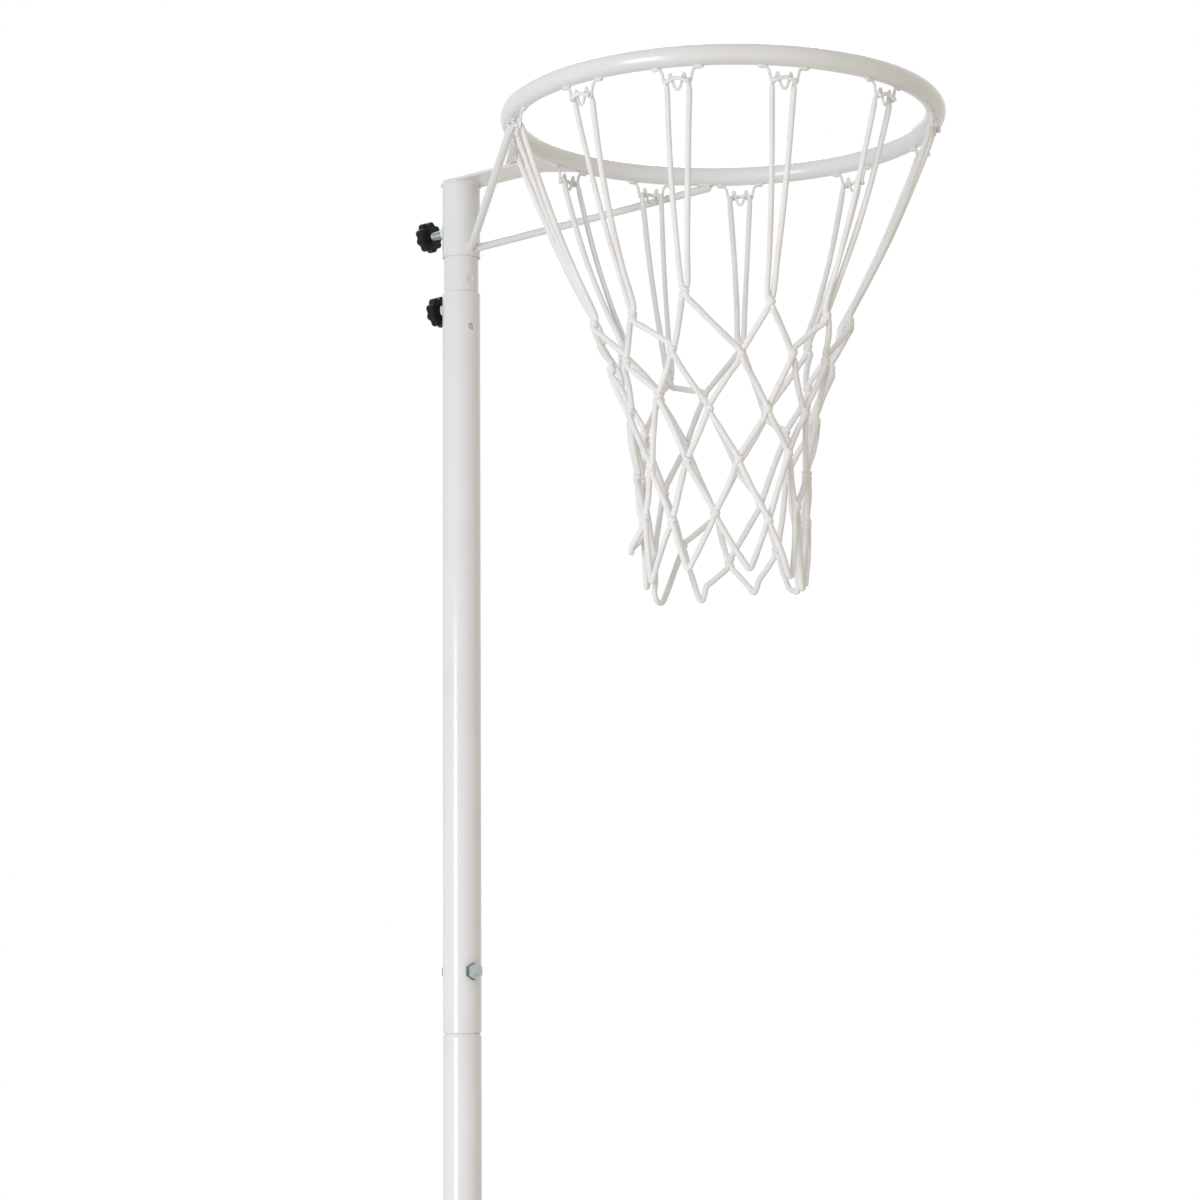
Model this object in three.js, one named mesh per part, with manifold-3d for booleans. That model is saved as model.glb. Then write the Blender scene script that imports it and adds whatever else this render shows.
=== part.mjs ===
// Free-standing netball post with a telescopic top, built from its separate pieces.
// Millimetres, +Z up. The origin is the centre of the base's underside, on the post's axis,
// and +X points from the post to the middle of the ring.

import * as THREE from "three";
import { mergeVertices } from "three/addons/utils/BufferGeometryUtils.js";
import Module from "manifold-3d";

const wasm = await Module();
wasm.setup();

// Gaps and cuts
const seat = 0.3;
const overrun = 2;

// Round steel tube of the post and of the sleeve
const tubeDiameter = 38.1;
const tubeWall = 1.3;
const endRounding = 0.5;
const sectionLength = 741;
const shoulderLength = 4;
const neckLength = 75;
const neckDiameter = 34.8;

// Telescopic tube and how far it is in view at the lowest setting
const innerDiameter = 34.8;
const innerWall = 1.4;
const innerInView = 37;
const settingPitch = 305;
const settingCount = 3;
const sightHoleDiameter = 7;
const sightHoleDrop = 36;
const dimpleDepth = 0.7;
const topDimpleRise = 12.5;

// Sleeve that carries the ring
const sleeveLength = 75.5;
const sleeveLipHeight = 2.5;
const sleeveLipStand = 0.5;

// Through bolts of the tube joints, M10
const boltDiameter = 10;
const boltHeadFlats = 16;
const boltHeadHeight = 6.4;
const boltRise = 60;
const boltTail = 4;
const nutHeight = 8.4;
const crownHeight = 1;
const boltTurn = THREE.MathUtils.degToRad(-14.6);

// Clamp screws, M8, with a lobed head and a nut welded to the tube
const studDiameter = 8;
const studTip = 1.2;
const studGrip = 5;
const weldNutFlats = 13;
const weldNutHeight = 4.6;
const knobDiameter = 31.5;
const knobThickness = 9.5;
const knobRounding = 1.4;
const knobLobes = 9;
const lobeDepth = 2;
const knobHubDiameter = 17;
const knobHubHeight = 1.8;
const upperScrewRise = 29.5;
const upperScrewStand = 17;
const lowerScrewDrop = 13.5;
const lowerScrewStand = 2.4;

// Ring
const ringInnerDiameter = 380;
const ringTubeDiameter = 19;
const reach = 339;

// Flat bar and gusset between the sleeve and the ring
const barThickness = 3;
const gussetThickness = 3;
const gussetLength = 52.7;
const gussetHalfWidth = 17;
const gussetSpread = THREE.MathUtils.degToRad(23.6);

// Round braces under the ring
const braceDiameter = 8;
const braceFootRise = 9;
const braceSink = 1;
const braceTail = 3;
const braceFootTurn = THREE.MathUtils.degToRad(13);
const braceSpread = THREE.MathUtils.degToRad(46.5);

// Wire net hooks, a W on two welded tails, and the wire's centre line from a tail's end to the
// middle: the share of the half width along the ring, and the share of the drop below the tail
const hookWire = 2.6;
const hookHalfWidth = 22;
const hookDrop = 18.7;
const hookValleyShares = [0.46, 0.72];
const hookShares = [
  [1, 0], [0.75, 0], [0.67, 0.1], [0.6, 0.45], [0.57, 0.63], hookValleyShares,
  [0.35, 0.63], [0.33, 0.45], [0.28, 0.25], [0.225, 0.42], [0.13, 0.85], [0, 1],
];

// Net cord, and the net's length from the ring's plane to the middle of its lowest loops
const cordDiameter = 5;
const cordSqueezed = 2.4;
const cordWrapGap = 0.6;
const cordWrapTurn = THREE.MathUtils.degToRad(150);
const cordBridgeShares = [0, 0.5];
const knotWidth = 8.4;
const knotThickness = 7.6;
const knotTaper = 6;
const netLength = 441;
const loopHalfWidth = 6;

// Each row of knots: its drop as a share of the net's length, and its radius as a share of the ring's
const knotRowShares = [[0.454, 0.617], [0.553, 0.521], [0.662, 0.446], [0.773, 0.414], [0.891, 0.396]];
const loopRadiusShare = 0.381;

// Weighted base
const baseDiameter = 600;
const baseHeight = 90;
const baseRimHeight = 34;
const baseRimRounding = 9;
const baseHubDiameter = 220;
const baseHubFall = 7;
const baseFootWidth = 32;
const basePadDiameter = 210;
const baseRecess = 6;
const baseRecessSlope = 5;
const plateDiameter = 180;
const plateThickness = 5;
const plateRounding = 1;
const plateBoltCircle = 130;
const plateBoltCount = 4;
const plateBoltLength = 36;
const washerDiameter = 20;
const washerThickness = 2;
const insertDiameter = 16;
const insertLength = 30;

// Angle of each net hook round the ring: even steps, with the small drift of hand welding
const hookDriftDegrees = [-4.9, -2.6, -4.6, -1.7, 3.5, -0.2, -2, -3.6, -3.6, -0.6, -3, -5.8];

// Facets
const tubeSides = 20;
const rodSides = 8;
const shankSides = 10;
const discSides = 40;
const wireSides = 5;
const cordSides = 6;
const cordWrapSteps = 3;
const knobStepsPerLobe = 4;
const plateArcSteps = 10;
const rimSteps = 2;
const ringSides = 12;
const ringSteps = 48;
const sameCorner = 1e-4;

// Heights worked out from the sizes above
const tubeRadius = tubeDiameter / 2;
const tubeBore = tubeRadius - tubeWall;
const neckRadius = neckDiameter / 2;
const innerRadius = innerDiameter / 2;
const plateBottom = baseHeight + seat;
const plateTop = plateBottom + plateThickness;
const lowerStart = plateTop + seat;
const middleStart = lowerStart + sectionLength + shoulderLength;
const upperStart = middleStart + sectionLength + shoulderLength;
const upperEnd = upperStart + sectionLength;
const sleeveStart = upperEnd + innerInView;
const sleeveEnd = sleeveStart + sleeveLength;
const ringPlane = sleeveEnd + seat + barThickness / 2;
const innerStart = upperStart + neckLength + seat;
const ringTubeRadius = ringTubeDiameter / 2;
const ringRadius = ringInnerDiameter / 2 + ringTubeRadius;
const ringOuter = ringRadius + ringTubeRadius;
const upperScrewHeight = sleeveStart + upperScrewRise;
const lowerScrewHeight = upperEnd - lowerScrewDrop;
const sightHoleHeight = upperEnd - sightHoleDrop;

const paint = { color: 0xeeecea, roughness: 0.28, metalness: 0.05 };
const coated = new THREE.MeshStandardMaterial({ name: "white_coated_steel", ...paint });
const zinc = new THREE.MeshStandardMaterial({
  name: "zinc_plated_steel", color: 0xb4bcc4, roughness: 0.35, metalness: 0.9,
});
const blackPlastic = new THREE.MeshStandardMaterial({
  name: "black_plastic", color: 0x101113, roughness: 0.5, metalness: 0,
});
const cordFibre = new THREE.MeshStandardMaterial({
  name: "white_cord", color: 0xf0efec, roughness: 0.9, metalness: 0,
});
const rubber = new THREE.MeshStandardMaterial({
  name: "black_rubber", color: 0x1a1a1b, roughness: 0.85, metalness: 0,
});

const post = new THREE.Group();

// Adds one named piece to a group
function addPiece(name, geometry, material, group = post) {
  const mesh = new THREE.Mesh(geometry, material);
  mesh.name = name;
  group.add(mesh);
  return mesh;
}

// One closed surface with shared corners and its faces turned out
function closed(geometry) {
  const bare = geometry.clone();
  for (const name of Object.keys(bare.attributes)) {
    if (name !== "position") bare.deleteAttribute(name);
  }
  const merged = mergeVertices(bare, sameCorner);
  const at = (k) => corner.fromBufferAttribute(merged.attributes.position, k).clone();
  const corner = new THREE.Vector3();
  const index = merged.index.array;
  const kept = [];
  let volume = 0;
  for (let i = 0; i < index.length; i += 3) {
    const [a, b, c] = [index[i], index[i + 1], index[i + 2]];
    if (a === b || b === c || c === a) continue;
    kept.push(a, b, c);
    volume += at(a).dot(at(b).cross(at(c)));
  }
  if (volume < 0) {
    for (let i = 0; i < kept.length; i += 3) [kept[i], kept[i + 1]] = [kept[i + 1], kept[i]];
  }
  merged.setIndex(kept);
  return merged;
}

function toSolid(geometry) {
  const merged = closed(geometry);
  return new wasm.Manifold(new wasm.Mesh({
    numProp: 3,
    vertProperties: new Float32Array(merged.attributes.position.array),
    triVerts: new Uint32Array(merged.index.array),
  }));
}

function toGeometry(solid) {
  const mesh = solid.getMesh();
  const geometry = new THREE.BufferGeometry();
  geometry.setAttribute("position", new THREE.BufferAttribute(mesh.vertProperties, 3));
  geometry.setIndex(new THREE.BufferAttribute(mesh.triVerts, 1));
  return geometry;
}

function cut(geometry, ...tools) {
  return toGeometry(tools.reduce((solid, tool) => solid.subtract(toSolid(tool)), toSolid(geometry)));
}

function join(...geometries) {
  return toGeometry(geometries.map(toSolid).reduce((a, b) => a.add(b)));
}

// A profile of [radius, height] corners turned round the Z axis
function turned(profile, sides = tubeSides) {
  const points = profile.map(([radius, height]) => new THREE.Vector2(radius, height));
  return closed(new THREE.LatheGeometry(points, sides).rotateX(Math.PI / 2));
}

// A round bar from one point to another
function bar(from, to, radiusFrom, radiusTo = radiusFrom, sides = rodSides) {
  const along = to.clone().sub(from);
  const length = along.length();
  const geometry = new THREE.CylinderGeometry(radiusTo, radiusFrom, length, sides);
  geometry.translate(0, length / 2, 0);
  const up = new THREE.Vector3(0, 1, 0);
  geometry.applyQuaternion(new THREE.Quaternion().setFromUnitVectors(up, along.normalize()));
  return geometry.translate(from.x, from.y, from.z);
}

function polygon(radius, sides, turn = 0) {
  const points = [];
  for (let i = 0; i < sides; i += 1) {
    const angle = turn + (i / sides) * Math.PI * 2;
    points.push(new THREE.Vector2(radius * Math.cos(angle), radius * Math.sin(angle)));
  }
  return new THREE.Shape(points);
}

function plate(shape, thickness, bottom) {
  const options = { depth: thickness, bevelEnabled: false, curveSegments: plateArcSteps };
  return new THREE.ExtrudeGeometry(shape, options).translate(0, 0, bottom);
}

// A straight hole tool along X through the far wall of a tube, or through both
function sideHole(diameter, height, turn, from, to) {
  const tool = new THREE.CylinderGeometry(diameter / 2, diameter / 2, to - from, shankSides);
  tool.translate(0, (from + to) / 2, 0);
  return tool.rotateZ(-Math.PI / 2).rotateZ(turn).translate(0, 0, height);
}

// Tubes of the post

// Outer section from its lower end; with a neck it is swaged to fit inside the tube above
function outerSection(start, hasNeck) {
  const r = tubeRadius;
  const end = start + sectionLength;
  const profile = [
    [tubeBore, start],
    [r - endRounding, start],
    [r, start + endRounding],
  ];
  if (hasNeck) {
    const shoulderEnd = end + shoulderLength;
    const neckEnd = shoulderEnd + neckLength;
    const neckBore = neckRadius - tubeWall;
    profile.push([r, end], [r - endRounding, end + endRounding]);
    profile.push([neckRadius, shoulderEnd - endRounding], [neckRadius, neckEnd - endRounding]);
    profile.push([neckRadius - endRounding, neckEnd], [neckBore, neckEnd]);
    profile.push([neckBore, shoulderEnd - endRounding], [tubeBore, end - endRounding]);
  } else {
    profile.push([r, end - endRounding], [r - endRounding, end], [tubeBore, end]);
  }
  profile.push([tubeBore, start]);
  return turned(profile);
}

const boltHole = boltDiameter + seat * 2;
const studHole = studDiameter + seat * 2;

function boltHoleAt(height) {
  return sideHole(boltHole, height, boltTurn, -tubeRadius - overrun, tubeRadius + overrun);
}

const jointStarts = { lower: lowerStart, middle: middleStart, upper: upperStart };

addPiece("tube_lower", cut(
  outerSection(lowerStart, true),
  boltHoleAt(lowerStart + boltRise),
  boltHoleAt(middleStart + boltRise),
), coated);
addPiece("tube_middle", cut(
  outerSection(middleStart, true),
  boltHoleAt(middleStart + boltRise),
  boltHoleAt(upperStart + boltRise),
), coated);
addPiece("tube_upper", cut(
  outerSection(upperStart, false),
  boltHoleAt(upperStart + boltRise),
  sideHole(sightHoleDiameter, sightHoleHeight, boltTurn, innerRadius - innerWall, tubeRadius + overrun),
  sideHole(studHole, lowerScrewHeight, Math.PI, innerRadius - innerWall, tubeRadius + overrun),
), coated);

// Telescopic tube, with a dimple that shows in the outer tube's sight hole at each height setting
function innerTube() {
  const r = innerRadius;
  const bore = r - innerWall;
  const tube = turned([
    [bore, innerStart],
    [r - endRounding, innerStart],
    [r, innerStart + endRounding],
    [r, sleeveEnd - endRounding],
    [r - endRounding, sleeveEnd],
    [bore, sleeveEnd],
    [bore, innerStart],
  ]);
  const heights = [upperEnd + topDimpleRise];
  for (let i = 0; i < settingCount; i += 1) heights.push(sightHoleHeight - i * settingPitch);
  const dimple = (z) => sideHole(sightHoleDiameter, z, boltTurn, r - dimpleDepth, r + overrun);
  return cut(tube, ...heights.map(dimple));
}
addPiece("inner_tube", innerTube(), coated);

// Through bolts and their nuts

function hexagon(flats, height, bore, bottom) {
  const corner = flats / 2 / Math.cos(Math.PI / 6);
  const body = plate(polygon(corner, 6), height, bottom);
  const crown = turned([
    [0, bottom],
    [corner + overrun, bottom],
    [corner, bottom + height - crownHeight],
    [flats / 2 - crownHeight / 2, bottom + height],
    [0, bottom + height],
  ], shankSides);
  const rounded = toSolid(body).intersect(toSolid(crown));
  if (!bore) return toGeometry(rounded);
  const hole = new THREE.CylinderGeometry(bore / 2, bore / 2, height + overrun * 2, shankSides);
  hole.rotateX(Math.PI / 2).translate(0, 0, bottom + height / 2);
  return toGeometry(rounded.subtract(toSolid(hole)));
}

function shank(diameter, from, to, tip) {
  const r = diameter / 2;
  return turned([[0, from], [r - tip, from], [r, from + tip], [r, to], [0, to]], shankSides);
}

function throughBolt(name, height) {
  const face = tubeRadius + seat;
  const group = new THREE.Group();
  group.position.z = height;
  group.rotation.set(0, Math.PI / 2, 0);
  const turn = new THREE.Group();
  turn.rotation.z = boltTurn;
  const tail = face + nutHeight + boltTail;
  addPiece(`bolt_${name}`, join(
    hexagon(boltHeadFlats, boltHeadHeight, 0, face),
    shank(boltDiameter, -tail, face + overrun, crownHeight),
  ), zinc, group);
  const nut = hexagon(boltHeadFlats, nutHeight, boltHole, face).rotateX(Math.PI);
  addPiece(`nut_${name}`, nut, zinc, group);
  turn.add(group);
  post.add(turn);
}
for (const [name, start] of Object.entries(jointStarts)) throughBolt(name, start + boltRise);

// Clamp screws, each with its welded nut, on the side away from the ring

function knobHead(innerFace) {
  const outline = [];
  const steps = knobLobes * knobStepsPerLobe;
  const mean = knobDiameter / 2 - lobeDepth / 2 - knobRounding;
  for (let i = 0; i < steps; i += 1) {
    const angle = (i / steps) * Math.PI * 2;
    const radius = mean + (lobeDepth / 2) * Math.cos(knobLobes * angle);
    outline.push(new THREE.Vector2(radius * Math.cos(angle), radius * Math.sin(angle)));
  }
  const head = new THREE.ExtrudeGeometry(new THREE.Shape(outline), {
    depth: knobThickness - knobRounding * 2,
    bevelThickness: knobRounding,
    bevelSize: knobRounding,
    bevelSegments: 1,
  }).translate(0, 0, innerFace + knobRounding);
  const hub = turned([
    [0, innerFace - knobHubHeight],
    [knobHubDiameter / 2 - knobRounding, innerFace - knobHubHeight],
    [knobHubDiameter / 2, innerFace + knobRounding],
    [0, innerFace + knobRounding],
  ], shankSides);
  const socketStart = innerFace - knobHubHeight - overrun;
  const socketEnd = innerFace + studGrip + seat;
  const socket = turned([
    [0, socketStart],
    [studHole / 2, socketStart],
    [studHole / 2, socketEnd],
    [0, socketEnd],
  ], shankSides);
  return cut(join(head, hub), socket);
}

function weldNut(surface) {
  const nut = hexagon(weldNutFlats, weldNutHeight + tubeWall, studHole, surface - tubeWall);
  const tube = new THREE.CylinderGeometry(surface + seat, surface + seat, weldNutFlats * 2, tubeSides);
  return cut(nut, tube.rotateZ(Math.PI / 2));
}

function clampScrew(name, height, stand, group) {
  const screw = new THREE.Group();
  screw.position.z = height;
  screw.rotation.y = -Math.PI / 2;
  const innerFace = tubeRadius + weldNutHeight + stand;
  addPiece(`weld_nut_${name}`, weldNut(tubeRadius), coated, screw);
  const stud = shank(studDiameter, innerRadius + seat, innerFace + studGrip, studTip);
  addPiece(`stud_${name}`, stud, zinc, screw);
  addPiece(`knob_${name}`, knobHead(innerFace), blackPlastic, screw);
  group.add(screw);
}
clampScrew("upper", upperScrewHeight, upperScrewStand, post);
clampScrew("lower", lowerScrewHeight, lowerScrewStand, post);

// Head: sleeve, flat bar, gusset, braces, ring, hooks and net

const sleeve = turned([
  [tubeBore, sleeveStart],
  [tubeRadius, sleeveStart],
  [tubeRadius + sleeveLipStand, sleeveStart + sleeveLipHeight / 2],
  [tubeRadius, sleeveStart + sleeveLipHeight],
  [tubeRadius, sleeveEnd - endRounding],
  [tubeRadius - endRounding, sleeveEnd],
  [tubeBore, sleeveEnd],
  [tubeBore, sleeveStart],
]);
addPiece("sleeve", cut(
  sleeve,
  sideHole(studHole, upperScrewHeight, Math.PI, innerRadius - innerWall, tubeRadius + overrun),
), coated);

// The head's own frame has its origin at the middle of the ring
const head = new THREE.Group();
head.position.set(reach, 0, ringPlane);
post.add(head);

function armOutline() {
  const shape = new THREE.Shape();
  const edge = ringOuter + seat;
  const angle = Math.asin(tubeRadius / edge);
  shape.moveTo(-edge * Math.cos(angle), -tubeRadius);
  shape.absarc(0, 0, edge, Math.PI + angle, Math.PI - angle, true);
  shape.lineTo(-reach, tubeRadius);
  shape.absarc(-reach, 0, tubeRadius, Math.PI / 2, Math.PI * 1.5, false);
  shape.closePath();
  return shape;
}
addPiece("arm_bar", plate(armOutline(), barThickness, -barThickness / 2), coated, head);

function gussetOutline() {
  const shape = new THREE.Shape();
  const edge = ringOuter + seat;
  const start = -ringOuter - gussetLength;
  shape.moveTo(start, -gussetHalfWidth);
  shape.lineTo(-edge * Math.cos(gussetSpread), -edge * Math.sin(gussetSpread));
  shape.absarc(0, 0, edge, Math.PI + gussetSpread, Math.PI - gussetSpread, true);
  shape.lineTo(start, gussetHalfWidth);
  shape.closePath();
  return shape;
}
addPiece("gusset_plate", plate(gussetOutline(), gussetThickness, barThickness / 2 + seat), coated, head);

const ringBody = new THREE.TorusGeometry(ringRadius, ringTubeRadius, ringSides, ringSteps);
addPiece("ring", closed(ringBody), coated, head);

// A point given by its angle round the ring, its distance from the middle and its height
function onRing(angle, radius, height) {
  return new THREE.Vector3(radius * Math.cos(angle), radius * Math.sin(angle), height);
}

// A brace starts inside the sleeve and runs on under the ring, and both ends are coped to fit
function brace(side) {
  const foot = new THREE.Vector3(-reach, 0, -(ringPlane - sleeveStart) + braceFootRise);
  foot.x += tubeRadius * Math.cos(braceFootTurn);
  foot.y += side * tubeRadius * Math.sin(braceFootTurn);
  const height = -ringTubeRadius - braceDiameter / 2 + braceSink;
  const under = onRing(Math.PI - side * braceSpread, ringRadius, height);
  const along = under.clone().sub(foot).normalize();
  const end = under.clone().addScaledVector(along, braceTail);
  const cap = new THREE.SphereGeometry(braceDiameter / 2, rodSides, rodSides / 2);
  cap.translate(end.x, end.y, end.z);
  const tool = new THREE.TorusGeometry(ringRadius, ringTubeRadius + seat, ringSides, ringSteps);
  const coreRadius = tubeRadius + seat;
  const core = new THREE.CylinderGeometry(coreRadius, coreRadius, sleeveLength * 2, tubeSides);
  core.rotateX(Math.PI / 2).translate(-reach, 0, foot.z);
  return cut(join(bar(foot, end, braceDiameter / 2), cap), tool, core);
}
addPiece("brace_left", brace(1), coated, head);
addPiece("brace_right", brace(-1), coated, head);

function addCorner(surface, point) {
  return surface.corners.push(point) - 1;
}

function joinRings(surface, from, to) {
  from.forEach((corner, k) => {
    const next = (k + 1) % from.length;
    surface.faces.push([corner, from[next], to[next]], [corner, to[next], to[k]]);
  });
}

function surfaceGeometry({ corners, faces }) {
  const geometry = new THREE.BufferGeometry();
  const numbers = corners.flatMap((point) => point.toArray());
  geometry.setAttribute("position", new THREE.Float32BufferAttribute(numbers, 3));
  geometry.setIndex(faces.flat());
  return closed(geometry);
}

// A ring of corners round each point of a path, square to the way from the stop before it to the
// stop after it; the spoke is carried along so that the rings don't twist
function sweep(surface, path, stops, spoke, sides) {
  return path.map(({ at, radius }, i) => {
    const before = at.clone().sub(stops[i]).normalize();
    const after = stops[i + 2].clone().sub(at).normalize();
    const along = before.add(after).normalize();
    spoke.addScaledVector(along, -spoke.dot(along)).normalize();
    const corners = [];
    for (let k = 0; k < sides; k += 1) {
      const turn = (k / sides) * Math.PI * 2;
      corners.push(spoke.clone().applyAxisAngle(along, turn).multiplyScalar(radius).add(at));
    }
    return corners.map((corner) => addCorner(surface, corner));
  });
}

const hookAngles = hookDriftDegrees.map((drift, i) => (
  THREE.MathUtils.degToRad(drift) + (i / hookDriftDegrees.length) * Math.PI * 2
));

// A hook's wire follows the ring at its tails, so its width is laid off along the ring
const hookTop = -ringTubeRadius - seat - hookWire / 2;

function hookPoint(angle, [widthShare, dropShare], side, radius = ringRadius) {
  const turn = angle + (side * widthShare * hookHalfWidth) / ringRadius;
  return onRing(turn, radius, hookTop - dropShare * hookDrop);
}

function hook(angle) {
  const right = hookShares.map((shares) => hookPoint(angle, shares, 1));
  const left = hookShares.slice(0, -1).reverse().map((shares) => hookPoint(angle, shares, -1));
  const surface = { corners: [], faces: [] };
  const path = [...right, ...left].map((at) => ({ at, radius: hookWire / 2 }));
  const stops = [path[0].at, ...path.map(({ at }) => at), path[path.length - 1].at];
  const first = path[0].at.clone().sub(path[1].at).normalize();
  const rings = sweep(surface, path, stops, new THREE.Vector3(0, 0, 1).cross(first), wireSides);
  for (let i = 0; i + 1 < rings.length; i += 1) joinRings(surface, rings[i], rings[i + 1]);
  const [start, end] = [rings[0], rings[rings.length - 1]];
  for (let k = 1; k + 1 < wireSides; k += 1) {
    surface.faces.push([start[0], start[k + 1], start[k]], [end[0], end[k], end[k + 1]]);
  }
  return surfaceGeometry(surface);
}
hookAngles.forEach((angle, i) => {
  addPiece(`net_hook_${String(i + 1).padStart(2, "0")}`, hook(angle), coated, head);
});

// The net is one surface: four-way knots whose six-cornered sides are joined by strands
const net = { corners: [], faces: [] };

// A knot has four arms in the net's surface, and a side between each two where a strand leaves
function addKnot(angle, radius, height) {
  const middle = onRing(angle, radius, height);
  const outward = onRing(angle, 1, 0);
  const arms = [onRing(angle + Math.PI / 2, 1, 0), new THREE.Vector3(0, 0, 1)];
  arms.push(arms[0].clone().negate(), arms[1].clone().negate());
  const place = (across, out) => addCorner(net, middle.clone().add(across).addScaledVector(outward, out));
  const tips = arms.map((arm) => arm.clone().multiplyScalar(knotWidth / 2));
  const ring = [];
  tips.forEach((tip, i) => {
    const between = tip.clone().add(tips[(i + 1) % tips.length]).multiplyScalar(0.5);
    ring.push([tip, knotThickness / 4], [between, knotThickness / 2]);
  });
  const front = ring.map(([across, out]) => place(across, out));
  const back = ring.map(([across, out]) => place(across, -out));
  const frontMiddle = place(new THREE.Vector3(), knotThickness / 2);
  const backMiddle = place(new THREE.Vector3(), -knotThickness / 2);
  ring.forEach((_, i) => {
    const j = (i + 1) % ring.length;
    net.faces.push([frontMiddle, front[i], front[j]], [backMiddle, back[j], back[i]]);
  });
  const side = (i) => {
    const [a, b, c] = [i, i + 1, (i + 2) % ring.length];
    return { from: middle, corners: [front[c], front[b], front[a], back[a], back[b], back[c]] };
  };
  return { upRight: side(0), upLeft: side(2), downLeft: side(4), downRight: side(6) };
}

// A strand leaves one knot's side, passes its own points, and ends on another knot's side
function addStrand(start, points, end) {
  const leave = points.length ? points[0].at : end.from;
  const arrive = points.length ? points[points.length - 1].at : start.from;
  const taper = (from, to) => ({
    at: from.clone().addScaledVector(to.clone().sub(from).normalize(), knotTaper),
    radius: cordDiameter / 2,
  });
  const path = [taper(start.from, leave), ...points, taper(end.from, arrive)];
  const stops = [start.from, ...path.map(({ at }) => at), end.from];
  const spoke = net.corners[start.corners[0]].clone().sub(start.from);
  const rings = [start.corners, ...sweep(net, path, stops, spoke, cordSides)];
  const last = rings[rings.length - 1];
  const goal = [...end.corners].reverse();
  const shifts = goal.map((_, shift) => goal.map((_, k) => goal[(k + shift) % goal.length]));
  const misfit = (list) => list.reduce((sum, corner, k) => (
    sum + net.corners[corner].distanceToSquared(net.corners[last[k]])
  ), 0);
  rings.push(shifts.reduce((best, list) => (misfit(list) < misfit(best) ? list : best)));
  for (let i = 0; i + 1 < rings.length; i += 1) joinRings(net, rings[i], rings[i + 1]);
}

// From each hook a loop of cord hangs to the first knot, then diamonds run down to open loops
function netGeometry() {
  const full = cordDiameter / 2;
  const thin = cordSqueezed / 2;
  const count = hookAngles.length;
  const between = (i) => {
    const next = hookAngles[(i + 1) % count] + (i + 1 === count ? Math.PI * 2 : 0);
    return (hookAngles[i] + next) / 2;
  };
  const knots = knotRowShares.map(([drop, radius], row) => hookAngles.map((angle, i) => (
    addKnot(row % 2 ? between(i) : angle, radius * ringRadius, -drop * netLength)
  )));
  const wrap = hookWire / 2 + cordWrapGap + thin;
  const under = ringRadius + wrap - thin + full;
  hookAngles.forEach((angle, i) => {
    const overValley = (side) => {
      const lower = hookPoint(angle, hookValleyShares, side, under);
      lower.z -= wrap;
      const points = [{ at: lower, radius: full }];
      for (let step = 0; step <= cordWrapSteps; step += 1) {
        const lift = (step / cordWrapSteps) * cordWrapTurn;
        const at = hookPoint(angle, hookValleyShares, side, ringRadius + wrap * Math.cos(lift));
        at.z += wrap * Math.sin(lift);
        points.push({ at, radius: thin });
      }
      return points;
    };
    const bridge = { at: hookPoint(angle, cordBridgeShares, 1, ringRadius - wrap), radius: thin };
    const loop = [...overValley(1), bridge, ...overValley(-1).reverse()];
    addStrand(knots[0][i].upRight, loop, knots[0][i].upLeft);
  });
  for (let row = 0; row + 1 < knots.length; row += 1) {
    for (let i = 0; i < count; i += 1) {
      const right = row % 2 ? (i + 1) % count : i;
      const left = row % 2 ? i : (i + count - 1) % count;
      addStrand(knots[row][i].downRight, [], knots[row + 1][right].upLeft);
      addStrand(knots[row][i].downLeft, [], knots[row + 1][left].upRight);
    }
  }
  const last = knots[knots.length - 1];
  const loopRadius = loopRadiusShare * ringRadius;
  for (let i = 0; i < count; i += 1) {
    const turn = (side) => ({
      at: onRing(between(i) + (side * loopHalfWidth) / loopRadius, loopRadius, -netLength),
      radius: full,
    });
    addStrand(last[i].downRight, [turn(-1), turn(1)], last[(i + 1) % count].downLeft);
  }
  return surfaceGeometry(net);
}
addPiece("net", netGeometry(), cordFibre, head);

// Base: a weighted disc, the plate bolted to it and the spigot that the lowest tube sits on

const baseRadius = baseDiameter / 2;
const hubRadius = baseHubDiameter / 2;
const padRadius = basePadDiameter / 2;

function baseDisc() {
  const rimTop = [];
  for (let i = 0; i <= rimSteps; i += 1) {
    const angle = (i / rimSteps) * (Math.PI / 2);
    rimTop.push([
      baseRadius - baseRimRounding * (1 - Math.cos(angle)),
      baseRimHeight - baseRimRounding * (1 - Math.sin(angle)),
    ]);
  }
  const body = turned([
    [0, 0],
    [padRadius, 0],
    [padRadius + baseRecessSlope, baseRecess],
    [baseRadius - baseFootWidth - baseRecessSlope, baseRecess],
    [baseRadius - baseFootWidth, 0],
    [baseRadius - baseRimRounding / 2, 0],
    [baseRadius, baseRimRounding / 2],
    ...rimTop,
    [hubRadius + baseHubFall * 2, baseHeight - baseHubFall],
    [hubRadius, baseHeight],
    [0, baseHeight],
  ], discSides);
  const pocketRadius = insertDiameter / 2 + seat;
  const insertEnd = baseHeight - insertLength - seat;
  const wellEnd = baseHeight - plateBoltLength - seat;
  const well = [
    [0, wellEnd],
    [boltHole / 2, wellEnd],
    [boltHole / 2, insertEnd],
    [pocketRadius, insertEnd],
    [pocketRadius, baseHeight + overrun],
    [0, baseHeight + overrun],
  ];
  const wells = [];
  for (let i = 0; i < plateBoltCount; i += 1) {
    const at = boltPlace(i);
    wells.push(turned(well, shankSides).translate(at.x, at.y, 0));
  }
  return cut(body, ...wells);
}

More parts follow.
